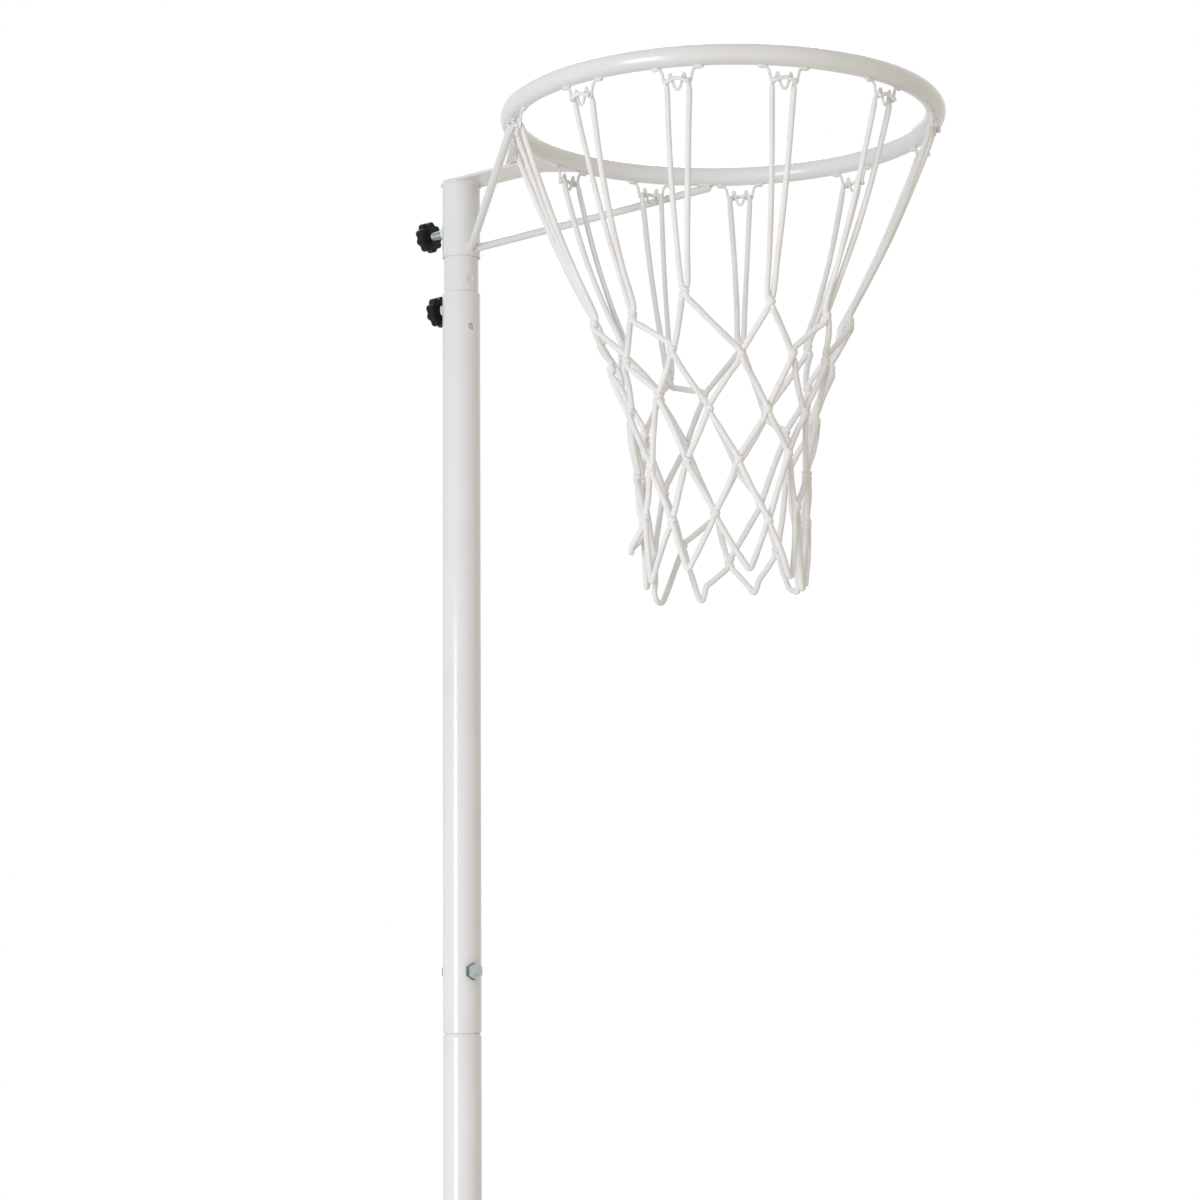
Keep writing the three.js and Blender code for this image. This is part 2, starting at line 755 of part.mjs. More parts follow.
function boltPlace(i) {
  const angle = ((i + 0.5) / plateBoltCount) * Math.PI * 2;
  const radius = plateBoltCircle / 2;
  return new THREE.Vector3(radius * Math.cos(angle), radius * Math.sin(angle), 0);
}
addPiece("base_disc", baseDisc(), rubber);

function basePlate() {
  const r = plateDiameter / 2;
  const body = turned([
    [0, plateBottom],
    [r, plateBottom],
    [r, plateTop - plateRounding],
    [r - plateRounding, plateTop],
    [0, plateTop],
  ], discSides);
  const [from, to] = [plateBottom - overrun, plateTop + overrun];
  const hole = [[0, from], [boltHole / 2, from], [boltHole / 2, to], [0, to]];
  const holes = [];
  for (let i = 0; i < plateBoltCount; i += 1) {
    const at = boltPlace(i);
    holes.push(turned(hole, shankSides).translate(at.x, at.y, 0));
  }
  return cut(body, ...holes);
}
addPiece("base_plate", basePlate(), coated);

const spigotEnd = lowerStart + neckLength;
addPiece("base_spigot", cut(turned([
  [neckRadius - tubeWall, lowerStart],
  [neckRadius, lowerStart],
  [neckRadius, spigotEnd - endRounding],
  [neckRadius - endRounding, spigotEnd],
  [neckRadius - tubeWall, spigotEnd],
  [neckRadius - tubeWall, lowerStart],
]), boltHoleAt(lowerStart + boltRise)), coated);

for (let i = 0; i < plateBoltCount; i += 1) {
  const at = boltPlace(i);
  const washerBottom = plateTop + seat;
  const headBottom = washerBottom + washerThickness + seat;
  const washer = turned([
    [boltHole / 2, washerBottom],
    [washerDiameter / 2, washerBottom],
    [washerDiameter / 2, washerBottom + washerThickness],
    [boltHole / 2, washerBottom + washerThickness],
    [boltHole / 2, washerBottom],
  ], shankSides);
  const bolt = join(
    hexagon(boltHeadFlats, boltHeadHeight, 0, headBottom),
    shank(boltDiameter, headBottom - plateBoltLength, headBottom + overrun, crownHeight),
  );
  const insertTop = baseHeight;
  const insert = turned([
    [boltHole / 2, insertTop - insertLength],
    [insertDiameter / 2, insertTop - insertLength],
    [insertDiameter / 2, insertTop],
    [boltHole / 2, insertTop],
    [boltHole / 2, insertTop - insertLength],
  ], shankSides);
  const name = i + 1;
  addPiece(`base_washer_${name}`, washer.translate(at.x, at.y, 0), zinc);
  addPiece(`base_bolt_${name}`, bolt.translate(at.x, at.y, 0), zinc);
  addPiece(`base_insert_${name}`, insert.translate(at.x, at.y, 0), zinc);
}

export default post;
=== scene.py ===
import math

import bmesh
import bpy
from mathutils import Matrix, Vector


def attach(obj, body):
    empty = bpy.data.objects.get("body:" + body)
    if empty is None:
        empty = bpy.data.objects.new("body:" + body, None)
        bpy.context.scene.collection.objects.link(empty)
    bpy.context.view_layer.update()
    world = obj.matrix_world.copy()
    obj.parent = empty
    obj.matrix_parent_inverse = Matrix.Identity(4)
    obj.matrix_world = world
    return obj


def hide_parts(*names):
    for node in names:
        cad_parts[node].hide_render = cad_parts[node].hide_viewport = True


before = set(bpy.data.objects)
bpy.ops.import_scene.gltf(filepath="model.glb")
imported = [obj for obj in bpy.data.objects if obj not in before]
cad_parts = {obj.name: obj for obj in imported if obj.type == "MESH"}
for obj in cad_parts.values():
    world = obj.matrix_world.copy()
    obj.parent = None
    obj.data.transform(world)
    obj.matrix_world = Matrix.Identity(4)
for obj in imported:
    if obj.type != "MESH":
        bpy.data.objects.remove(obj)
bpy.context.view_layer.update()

# Lengths are in millimetres where no comment says metres, and MM turns them into metres
MM = 0.001
TAU, QUARTER = math.tau, math.pi / 2
UP = Vector((0, 0, 1))
scene = bpy.context.scene

# Degrees between two faces above which their edge stays sharp
SHARP = 32

# Camera, in metres: it stands below the ring and looks slightly up, as in the photograph
camera_place = (2.0352, -2.1428, 1.6332)
camera_right = Vector((0.755928, 0.654560, -0.006320))
camera_up = Vector((0.075453, -0.077539, 0.994130))
camera_axes = Matrix((camera_right, camera_up, camera_right.cross(camera_up))).transposed()
camera_data = bpy.data.cameras.new("camera")
camera_data.sensor_width = 36
camera_data.lens = 89.272
camera_data.shift_y = 0.05
camera = bpy.data.objects.new("camera", camera_data)
scene.collection.objects.link(camera)
camera.matrix_world = Matrix.Translation(camera_place) @ camera_axes.to_4x4()
scene.camera = camera


# Node helpers

def feed(tree, socket, value):
    """Links a socket to another one, or sets it to a plain value."""
    if isinstance(value, bpy.types.NodeSocket):
        tree.links.new(value, socket)
    else:
        socket.default_value = value


def add_node(tree, kind, **values):
    """A node with values or links for the inputs that are named, with _ for a space."""
    node = tree.nodes.new("ShaderNode" + kind)
    for label, value in values.items():
        feed(tree, node.inputs[label.replace("_", " ")], value)
    return node


def add_math(tree, operation, *values, kind="Math", result="Value"):
    node = add_node(tree, kind)
    node.operation = operation
    for socket, value in zip(node.inputs, values):
        feed(tree, socket, value)
    return node.outputs[result]


def add_mix(tree, factor, first, second):
    mix = add_node(tree, "MixShader", Fac=factor)
    feed(tree, mix.inputs[1], first)
    feed(tree, mix.inputs[2], second)
    return mix.outputs["Shader"]


def add_noise(tree, coords, scale, detail=2.0, roughness=0.5):
    noise = add_node(tree, "TexNoise", Vector=coords, Scale=scale, Detail=detail, Roughness=roughness)
    return noise.outputs["Fac"]


def add_ramp(tree, factor, stops):
    ramp = add_node(tree, "ValToRGB", Fac=factor)
    elements = ramp.color_ramp.elements
    while len(elements) < len(stops):
        elements.new(0.5)
    for element, (position, colour) in zip(elements, stops):
        element.position = position
        element.color = (*colour, 1)
    return ramp.outputs["Color"]


def add_range(tree, factor, low, high, from_low=0.0, from_high=1.0):
    """Spreads a factor's values between from_low and from_high over low to high."""
    node = add_node(tree, "MapRange", Value=factor, From_Min=from_low, From_Max=from_high,
                    To_Min=low, To_Max=high)
    return node.outputs["Result"]


def add_bump(tree, shader, height, distance, strength, before=None):
    """A bump with its distance in metres, over an earlier bump where one is given."""
    bump = add_node(tree, "Bump", Height=height, Distance=distance, Strength=strength)
    if before is not None:
        feed(tree, bump.inputs["Normal"], before)
    feed(tree, shader.inputs["Normal"], bump.outputs["Normal"])
    return bump.outputs["Normal"]


def set_roughness(tree, shader, factor, low, high):
    """Roughness between low and high over the middle of a noise's values."""
    feed(tree, shader.inputs["Roughness"], add_range(tree, factor, low, high, 0.3, 0.7))


def facing(tree):
    """How far the surface turns from the eye, for the gloss alone."""
    return add_node(tree, "LayerWeight", Blend=0.5).outputs["Facing"]


def tinted(colour, tone):
    return tuple(a * b for a, b in zip(colour, tone))


# Materials

def new_material(name, clouds, stops, rough=None, gloss=None):
    """A material whose colour follows one noise, and its roughness too where rough is given."""
    material = bpy.data.materials.new(name)
    material.use_nodes = True
    tree = material.node_tree
    shader = tree.nodes["Principled BSDF"]
    coords = add_node(tree, "TexCoord").outputs["Object"]
    factor = add_noise(tree, coords, **clouds)
    feed(tree, shader.inputs["Base Color"], add_ramp(tree, factor, stops))
    if rough:
        set_roughness(tree, shader, factor, *rough)
    if gloss:
        shader.inputs["Specular IOR Level"].default_value = gloss
    return material, tree, shader, coords


def make_coat(name, tone=(1, 1, 1), peel=1.0):
    """Glossy white powder coat: faint orange peel, slow changes of tone, and a little dulling."""
    material, tree, shader, coords = new_material(name, dict(scale=9, detail=3), [
        (0.3, tinted((0.765, 0.762, 0.755), tone)),
        (0.7, tinted((0.805, 0.805, 0.803), tone)),
    ])
    set_roughness(tree, shader, add_noise(tree, coords, scale=60, detail=4), 0.13, 0.21)
    gloss = add_range(tree, facing(tree), 0.50, 0.14, from_low=0.35, from_high=0.95)
    feed(tree, shader.inputs["Specular IOR Level"], gloss)
    add_bump(tree, shader, add_noise(tree, coords, scale=520), distance=0.00012 * peel, strength=0.35)
    return material


def make_zinc(name, tone=(1, 1, 1)):
    """Zinc plate: grey with a little blue, fine clouding and faint tool marks."""
    material, tree, shader, coords = new_material(name, dict(scale=180, detail=4, roughness=0.6), [
        (0.25, tinted((0.30, 0.345, 0.36), tone)),
        (0.55, tinted((0.45, 0.495, 0.50), tone)),
        (0.8, tinted((0.60, 0.63, 0.62), tone)),
    ], rough=(0.22, 0.45))
    shader.inputs["Metallic"].default_value = 0.95
    add_bump(tree, shader, add_noise(tree, coords, scale=900), distance=0.00005, strength=0.4)
    return material


def make_black_plastic(name):
    """Satin black moulded plastic with a fine eroded texture and slightly rubbed high spots."""
    material, tree, shader, coords = new_material(name, dict(scale=120, detail=3), [
        (0.35, (0.004, 0.004, 0.005)),
        (0.75, (0.010, 0.010, 0.011)),
    ], rough=(0.36, 0.54), gloss=0.16)
    add_bump(tree, shader, add_noise(tree, coords, scale=2600), distance=0.00006, strength=0.5)
    return material


def make_rubber(name):
    """Matt black rubber, with a pebbled skin and patches of pale dust."""
    material, tree, shader, coords = new_material(name, dict(scale=14, detail=5, roughness=0.6), [
        (0.3, (0.018, 0.018, 0.019)),
        (0.6, (0.028, 0.028, 0.028)),
        (0.85, (0.052, 0.050, 0.047)),
    ], rough=(0.62, 0.86), gloss=0.35)
    pebble = add_node(tree, "TexVoronoi", Vector=coords, Scale=420)
    first = add_bump(tree, shader, pebble.outputs["Distance"], distance=0.00025, strength=0.5)
    swell = add_noise(tree, coords, scale=60, detail=4)
    add_bump(tree, shader, swell, distance=0.0008, strength=0.3, before=first)
    return material


def make_cord(name):
    """White braided cord: crossed strands laid off along the cord's own UV, with a soft fuzz."""
    material, tree, shader, coords = new_material(name, dict(scale=26, detail=4, roughness=0.6), [
        (0.28, (0.815, 0.795, 0.775)),
        (0.55, (0.865, 0.855, 0.850)),
        (0.8, (0.900, 0.895, 0.900)),
    ], rough=(0.66, 0.8), gloss=0.15)
    uv = add_node(tree, "UVMap")
    uv.uv_map = "along"
    split = add_node(tree, "SeparateXYZ", Vector=uv.outputs["UV"]).outputs
    strands = 4
    around = add_math(tree, "MULTIPLY", split["X"], strands * TAU)
    ahead = add_math(tree, "MULTIPLY", split["Y"], TAU)
    left_laid = add_math(tree, "SINE", add_math(tree, "ADD", around, ahead))
    right_laid = add_math(tree, "SINE", add_math(tree, "SUBTRACT", around, ahead))
    braid = add_math(tree, "MAXIMUM", left_laid, right_laid)
    first = add_bump(tree, shader, braid, distance=0.0001, strength=0.28)
    fuzz = add_noise(tree, coords, scale=1500)
    add_bump(tree, shader, fuzz, distance=0.00005, strength=0.22, before=first)
    return material


coat = make_coat("powder_coat")
coat_inner = make_coat("powder_coat_inner_tube", tone=(0.985, 0.985, 0.985), peel=0.8)
# A darker, warmer copy of the coat for the arm and gusset plates: painted shade
coat_plate_painted_shade = make_coat("powder_coat_plates_painted_shade", tone=(0.95, 0.925, 0.89))
coat_weld = make_coat("powder_coat_weld", tone=(0.99, 0.99, 0.99), peel=2.2)
zinc = make_zinc("zinc_plate")
# A darker copy of the zinc for the bolt heads' flanks: painted shade and painted dark reflection
zinc_flank_painted_shade = make_zinc("zinc_plate_flanks_painted_shade", tone=(0.36, 0.36, 0.36))
plastic = make_black_plastic("moulded_plastic")
rubber = make_rubber("moulded_rubber")
cord_fibre = make_cord("braided_cord")


# Mesh helpers

def polar(radius, turn):
    return radius * math.cos(turn), radius * math.sin(turn)


def turns(count):
    """Equal steps round a full circle, in radians."""
    return [TAU * k / count for k in range(count)]


def arc(middle_x, radius, start, end, steps):
    """Points of an arc in the XY plane round (middle_x, 0)."""
    points = []
    for k in range(steps + 1):
        x, y = polar(radius, start + (end - start) * k / steps)
        points.append((middle_x + x, y))
    return points


def add_ring(verts, spots):
    """Adds corners from (radius, turn, height) and gives their numbers."""
    first = len(verts)
    verts += [(*polar(radius, turn), height) for radius, turn, height in spots]
    return list(range(first, len(verts)))


def add_bands(faces, rows):
    """Faces from each ring of corners to the next: triangles where a ring is a single corner."""
    for low, high in zip(rows, rows[1:]):
        for k in range(len(low)):
            n = (k + 1) % len(low)
            corners = list(dict.fromkeys((low[k], low[n], high[n], high[k])))
            if len(corners) > 2:
                faces.append(corners)


def add_object(name, verts, faces, material, angle=SHARP, uvs=None):
    mesh = bpy.data.meshes.new(name)
    mesh.from_pydata([tuple(Vector(v) * MM) for v in verts], [], faces)
    mesh.update()
    finish_mesh(mesh, angle)
    if uvs:
        layer = mesh.uv_layers.new(name="along")
        for polygon, corners in zip(mesh.polygons, uvs):
            for loop, uv in zip(polygon.loop_indices, corners):
                layer.data[loop].uv = uv
    obj = bpy.data.objects.new(name, mesh)
    scene.collection.objects.link(obj)
    mesh.materials.append(material)
    return obj


def finish_mesh(mesh, angle):
    work = bmesh.new()
    work.from_mesh(mesh)
    bmesh.ops.recalc_face_normals(work, faces=work.faces)
    work.to_mesh(mesh)
    work.free()
    for polygon in mesh.polygons:
        polygon.use_smooth = True
    mesh.set_sharp_from_angle(angle=math.radians(angle))


# Material slot names that many calls to mount pass
WHITE_STEEL, ZINC_STEEL = "white_coated_steel", "zinc_plated_steel"


def mount(obj, body, slot, *nodes):
    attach(obj, body)
    if nodes:
        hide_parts(*nodes)


def rounded(corners, steps=4, closed=True):
    """Points of an outline whose (x, y, radius) corners are turned into arcs, where radius isn't 0."""
    out = []
    count = len(corners)
    nearly_straight = QUARTER - 0.02
    most = 0.49
    for i, (*point, radius) in enumerate(corners):
        p = Vector(point)
        a = Vector(corners[i - 1][:2]) - p
        b = Vector(corners[(i + 1) % count][:2]) - p
        is_end = i in (0, count - 1) and not closed
        if radius <= 0 or is_end or a.angle(b) / 2 > nearly_straight:
            out.append(tuple(p))
            continue
        half = a.angle(b) / 2
        reach = min(radius / math.tan(half), a.length * most, b.length * most)
        arc_r = reach * math.tan(half)
        a.normalize()
        b.normalize()
        centre = p + (a + b).normalized() * (arc_r / math.sin(half))
        first, last = p + a * reach - centre, p + b * reach - centre
        for k in range(steps + 1):
            out.append(tuple(centre + first.lerp(last, k / steps).normalized() * arc_r))
    return out


def revolve(name, profile, material, steps=96, closed=True, angle=SHARP):
    """A profile of (radius, height) turned round Z; an open one has its ends on the axis."""
    verts, faces, rows = [], [], []
    for radius, height in profile:
        if radius == 0:
            rows.append([len(verts)] * steps)
            verts.append((0, 0, height))
        else:
            rows.append(add_ring(verts, [(radius, turn, height) for turn in turns(steps)]))
    add_bands(faces, rows + rows[:1] if closed else rows)
    return add_object(name, verts, faces, material, angle)


def smooth_path(points, per_segment, closed=False):
    """A centripetal Catmull-Rom curve through (position, radius) points."""
    count = len(points)
    shortest = 1e-4
    out = []

    def blend(a, b, t, start, end):
        return a.lerp(b, (t - start) / (end - start))

    for i in range(count if closed else count - 1):
        quad = []
        for k in range(i - 1, i + 3):
            quad.append(points[k % count if closed else max(0, min(count - 1, k))])
        p = [Vector(at) for at, _ in quad]
        knots = [0.0]
        for a, b in zip(p, p[1:]):
            knots.append(knots[-1] + math.sqrt(max((b - a).length, shortest)))
        for step in range(per_segment):
            share = step / per_segment
            t = knots[1] + (knots[2] - knots[1]) * share
            first = [blend(p[k], p[k + 1], t, knots[k], knots[k + 1]) for k in range(3)]
            second = [blend(first[k], first[k + 1], t, knots[k], knots[k + 2]) for k in range(2)]
            at = blend(*second, t, knots[1], knots[2])
            out.append((at, quad[1][1] * (1 - share) + quad[2][1] * share))
    if not closed:
        out.append((Vector(points[-1][0]), points[-1][1]))
    return out


def add_cap(lists, row, end, before):
    """A low dome over a tube's open end: two smaller rings and a flat face."""
    verts, faces, uvs = lists
    centre, radius = end
    out = (centre - before[0]).normalized()
    outer = row
    for share in (0.6, 0.87):
        scale, lift = math.sqrt(1 - share ** 2), radius * share * 0.75
        inner = list(range(len(verts), len(verts) + len(row)))
        verts += [centre + (verts[k] - centre) * scale + out * lift for k in row]
        add_bands(faces, [outer, inner])
        uvs += [((0, 0),) * 4] * len(row)
        outer = inner
    faces.append(outer)
    uvs.append(((0, 0),) * len(row))


def sweep(path, sides, closed=False, into=None, pitch=9.0, flat=1.0, spoke=None):
    """A tube along (position, radius) points, with UVs whose unit along it is pitch long.

    Its first side looks along spoke, and flat scales it the other way across.
    """
    lists = into or ([], [], [])
    verts, faces, uvs = lists
    count = len(path)
    rows, lengths, total = [], [], 0.0
    for i, (at, radius) in enumerate(path):
        before = path[i - 1][0] if i or closed else at
        after = path[(i + 1) % count][0] if i + 1 < count or closed else at
        along = (after - before).normalized()
        if spoke is None:
            spoke = along.orthogonal().normalized()
        spoke = (spoke - along * spoke.dot(along)).normalized()
        other = along.cross(spoke)
        rows.append(list(range(len(verts), len(verts) + sides)))
        for turn in turns(sides):
            verts.append(at + (spoke * math.cos(turn) + other * math.sin(turn) * flat) * radius)
        if i:
            total += (at - path[i - 1][0]).length
        lengths.append(total)
    lengths.append(total + (path[0][0] - path[-1][0]).length)
    pairs = [(i, i + 1, 0) for i in range(count - 1)]
    if closed:
        # The last ring meets the first one turned by the shift that brings their corners closest
        gaps = []
        for shift in range(sides):
            ends = zip(rows[-1], rows[0][shift:] + rows[0][:shift])
            gaps.append(sum((verts[a] - verts[b]).length for a, b in ends))
        pairs.append((count - 1, 0, gaps.index(min(gaps))))
    for a, b, shift in pairs:
        v0, v1 = lengths[a] / pitch, lengths[a + 1] / pitch
        for k in range(sides):
            n = k + 1
            far = (rows[b][(n + shift) % sides], rows[b][(k + shift) % sides])
            faces.append((rows[a][k], rows[a][n % sides], *far))
            uvs.append(((k / sides, v0), (n / sides, v0), (n / sides, v1), (k / sides, v1)))
    if not closed:
        add_cap(lists, rows[0], path[0], path[1])
        add_cap(lists, rows[-1], path[-1], path[-2])
    return lists


def add_tube(name, path, sides, material, closed=False):
    verts, faces, _ = sweep(path, sides, closed)
    return add_object(name, verts, faces, material)


def subtract(obj, cutters, angle=SHARP):
    """Cuts the given temporary objects out of obj and removes them."""
    for cutter in cutters:
        modifier = obj.modifiers.new("cut", "BOOLEAN")
        modifier.operation = "DIFFERENCE"
        modifier.solver = "EXACT"
        modifier.object = cutter
    bpy.context.view_layer.update()
    graph = bpy.context.evaluated_depsgraph_get()
    mesh = bpy.data.meshes.new_from_object(obj.evaluated_get(graph))
    obj.modifiers.clear()
    obj.data = mesh
    finish_mesh(mesh, angle)
    for cutter in cutters:
        bpy.data.objects.remove(cutter)


def soften(obj, width, segments=2, limit=45):
    bevel = obj.modifiers.new("edges", "BEVEL")
    bevel.width = width * MM
    bevel.segments = segments
    bevel.limit_method = "ANGLE"
    bevel.angle_limit = math.radians(limit)
    bevel.harden_normals = True
    return obj


def joined(name, objects):
    """One object from several, keeping their smoothing and the first one's materials."""
    work = bmesh.new()
    for obj in objects:
        work.from_mesh(obj.data)
    mesh = bpy.data.meshes.new(name)
    work.to_mesh(mesh)
    work.free()
    for material in objects[0].data.materials:
        mesh.materials.append(material)
    out = bpy.data.objects.new(name, mesh)
    scene.collection.objects.link(out)
    for obj in objects:
        bpy.data.objects.remove(obj)
    return out


def shifted(x=0.0, y=0.0, z=0.0):
    return Matrix.Translation((x * MM, y * MM, z * MM))


def turned(angle, axis):
    return Matrix.Rotation(angle, 4, axis)


def place(obj, matrix):
    """Moves a piece's own mesh, so that its object stays at the origin of the row."""
    obj.data.transform(matrix)
    return obj


def pipe(name, radii, heights, edges, material, steps=96):
    """A plain tube from its bore and outer radius, its two ends and the radii of its four edges."""
    (bore, outer), (low, high) = radii, heights
    corners = [(bore, low), (outer, low), (outer, high), (bore, high)]
    return revolve(name, rounded([(*at, edge) for at, edge in zip(corners, edges)]), material, steps)


def cylinder(radius, low, high, steps):
    """A plain cutter along Z."""
    profile = [(0, low), (radius, low), (radius, high), (0, high)]
    return revolve("cutter", profile, coat, steps, closed=False)


def drill(diameter, height, turn, start, end):
    """A cutter for a hole across the post, from start to end along X and turned about Z."""
    cutter = cylinder(diameter / 2, start, end, 28)
    return place(cutter, shifted(z=height) @ turned(turn, "Z") @ turned(QUARTER, "Y"))


# Sizes shared with the model

gap = 0.3
tube_r, tube_bore = 19.05, 17.75
neck_r, neck_bore = 17.4, 16.1
inner_r, inner_bore, inner_length = 17.4, 16.0, 778.2
section, shoulder, neck = 741.0, 4.0, 75.0

base_height, flange_thick, washer_thick = 90, 5, 2
flange_bottom = base_height + gap
flange_top = flange_bottom + flange_thick
post_start = flange_top + gap
starts = {key: post_start + i * (section + shoulder) for i, key in enumerate(("lower", "middle", "upper"))}
upper_end = starts["upper"] + section

inner_in_view, sleeve_length, plate_thick = 37, 75.5, 3
sleeve_start = upper_end + inner_in_view
sleeve_end = sleeve_start + sleeve_length
ring_plane = sleeve_end + gap + plate_thick / 2
reach = 339.0
ring_bore, ring_tube = 380, 9.5
ring_r = ring_bore / 2 + ring_tube
ring_middle = Vector((reach, 0, ring_plane))

bolt_lift, bolt_turn, head_height = 60, math.radians(-14.6), 6.4
bolt_hole, stud_hole, pin_hole = 10.6, 8.6, 7.0
upper_screw, lower_screw = sleeve_start + 29.5, upper_end - 13.5

# The sight hole's height over the outer tube's end, and how far apart the height settings are
sight_lift, setting_step = -36, 305


# Post tubes

tube_steps, tube_edge = 112, 0.2
just_inside, well_outside = 16, 24


def outer_tube(key):
    """A tube of the post. All but the upper one end in a narrower neck for the next one."""
    name, start = f"post_tube_{key}", starts[key]
    end = start + section
    if key == "upper":
        return pipe(name, (tube_bore, tube_r), (start, end), (0.3, 0.5, 0.6, 0.35), coat, tube_steps)
    slope_top, inner_drop = end + shoulder, 0.5
    return revolve(name, rounded([
        (tube_bore, start, 0.3), (tube_r, start, 0.5), (tube_r, end, 1.6), (neck_r, slope_top, 1.6),
        (neck_r, slope_top + neck, 0.5), (neck_bore, slope_top + neck, 0.3),
        (neck_bore, slope_top - inner_drop, 1.0), (tube_bore, end - inner_drop, 1.0),
    ]), coat, tube_steps)


def bolt_cut(key):
    """The hole of the joint bolt near the start of the tube that key names."""
    return drill(bolt_hole, starts[key] + bolt_lift, bolt_turn, -30, 30)


def stud_cut(height):
    return drill(stud_hole, height, math.pi, just_inside, well_outside)


for key, following in (("lower", "middle"), ("middle", "upper"), ("upper", None)):
    tube = outer_tube(key)
    cuts = [bolt_cut(key)]
    if following:
        cuts.append(bolt_cut(following))
    else:
        cuts.append(drill(pin_hole, upper_end + sight_lift, bolt_turn, just_inside, well_outside))
        cuts.append(stud_cut(lower_screw))
    subtract(tube, cuts)
    mount(soften(tube, tube_edge), "post", WHITE_STEEL, f"tube_{key}")

# The telescopic tube has one dimple in view, and one behind the sight hole at each height setting
inner_tube = pipe("telescopic_tube", (inner_bore, inner_r), (sleeve_end - inner_length, sleeve_end),
                  (0.3, 0.6, 0.6, 0.3), coat_inner, tube_steps)
dimple_depth = 1.2
dimple_lifts = [12.5] + [sight_lift - i * setting_step for i in range(3)]
subtract(inner_tube, [
    drill(pin_hole, upper_end + lift, bolt_turn, inner_r - dimple_depth, 22) for lift in dimple_lifts
])
mount(soften(inner_tube, tube_edge), "telescope", WHITE_STEEL, "inner_tube")


# Fasteners

def hexagon(name, flats, height, bottom, material, bore=0.0):
    """A hexagon along Z, its corners chamfered by a cone: a nut where it has a bore, else a head."""
    slope = math.tan(math.radians(30))
    face_r = flats / 2 * 0.96
    top = bottom + height
    # Rings of (radius, height, slope of a chamfer), where no radius means the hexagon's edge
    rings = [(face_r, bottom, 0), (None, bottom, slope if bore else slope * 0.15),
             (None, top, -slope), (face_r, top, 0)]
    if bore:
        bore_r, lip_r, lip = bore / 2, bore / 2 + 0.5, 0.4
        rings = [(bore_r, bottom + lip, 0), (lip_r, bottom, 0), *rings,
                 (lip_r, top, 0), (bore_r, top - lip, 0)]
    else:
        # A head has a shallow dish in its face
        rings += [(face_r * 0.72, top - 0.12, 0), (face_r * 0.66, top - 0.3, 0)]
    verts, faces, rows = [], [], []
    for radius, z, chamfer in rings:
        spots = []
        for turn in turns(72):
            edge = flats / 2 / math.cos(turn % (math.pi / 3) - math.pi / 6)
            spots.append((radius or edge, turn, z + chamfer * max(0.0, edge - face_r)))
        rows.append(add_ring(verts, spots))
    add_bands(faces, rows + rows[:1] if bore else rows)
    if not bore:
        faces += [rows[0], rows[-1]]
    obj = add_object(name, verts, faces, material, 24)
    if material is zinc and not bore:
        # A bolt head's flanks get a darker copy of the zinc: painted shade and painted dark reflection
        obj.data.materials.append(zinc_flank_painted_shade)
        for polygon in obj.data.polygons:
            polygon.material_index = int(abs(polygon.normal.z) < 0.3)
    return obj


def threaded(name, diameter, pitch, ends, thread, tip=1.0):
    """A zinc-plated rod along Z with tapered tips and a helical groove between two heights."""
    (start, end), (thread_from, thread_to) = ends, thread
    sides, rings_per_turn = 40, 8
    depth = pitch * 0.54
    groove_sharpness, tip_slope = 2.6, 0.8
    count = max(2, round((end - start) / (pitch / rings_per_turn)))
    verts, faces, rows = [], [], []
    for i in range(count + 1):
        z = start + (end - start) * i / count
        fade = max(0.0, min(1.0, (z - thread_from) / pitch, (thread_to - z) / pitch))
        tip_r = diameter / 2 - max(0.0, tip - min(z - start, end - z)) * tip_slope
        spots = []
        for k, turn in enumerate(turns(sides)):
            phase = (z / pitch - k / sides) % 1.0
            groove = max(0.0, 1 - abs(phase - 0.5) * groove_sharpness)
            spots.append((min(diameter / 2 - depth * groove * fade, tip_r), turn, z))
        rows.append(add_ring(verts, spots))
    add_bands(faces, rows)
    faces += [rows[0], rows[-1]]
    return add_object(name, verts, faces, zinc, 50)


# The joint bolts' heads and nuts are a little smaller than the model's, as in the photograph
m10, m10_pitch = 10, 1.5
joint_flats, joint_nut = 14.9, 7.4
model_nut, rod_out = 8.4, 4

for key, start in starts.items():
    face = tube_r + gap
    tail = -(face + model_nut + rod_out)
    head = hexagon("head", joint_flats, head_height, face, zinc)
    rod = threaded("rod", m10, m10_pitch, (tail, face + 2), (tail, -face + 4))
    move = shifted(z=start + bolt_lift) @ turned(bolt_turn, "Z") @ turned(QUARTER, "Y")
    bolt = joined(f"joint_bolt_{key}", [head, rod])
    mount(place(bolt, move), "post", ZINC_STEEL, f"bolt_{key}")
    nut = hexagon(f"joint_nut_{key}", joint_flats, joint_nut, face, zinc, bore=10.1)
    mount(place(nut, move @ turned(math.pi, "X")), "post", ZINC_STEEL, f"nut_{key}")


# Clamp screws

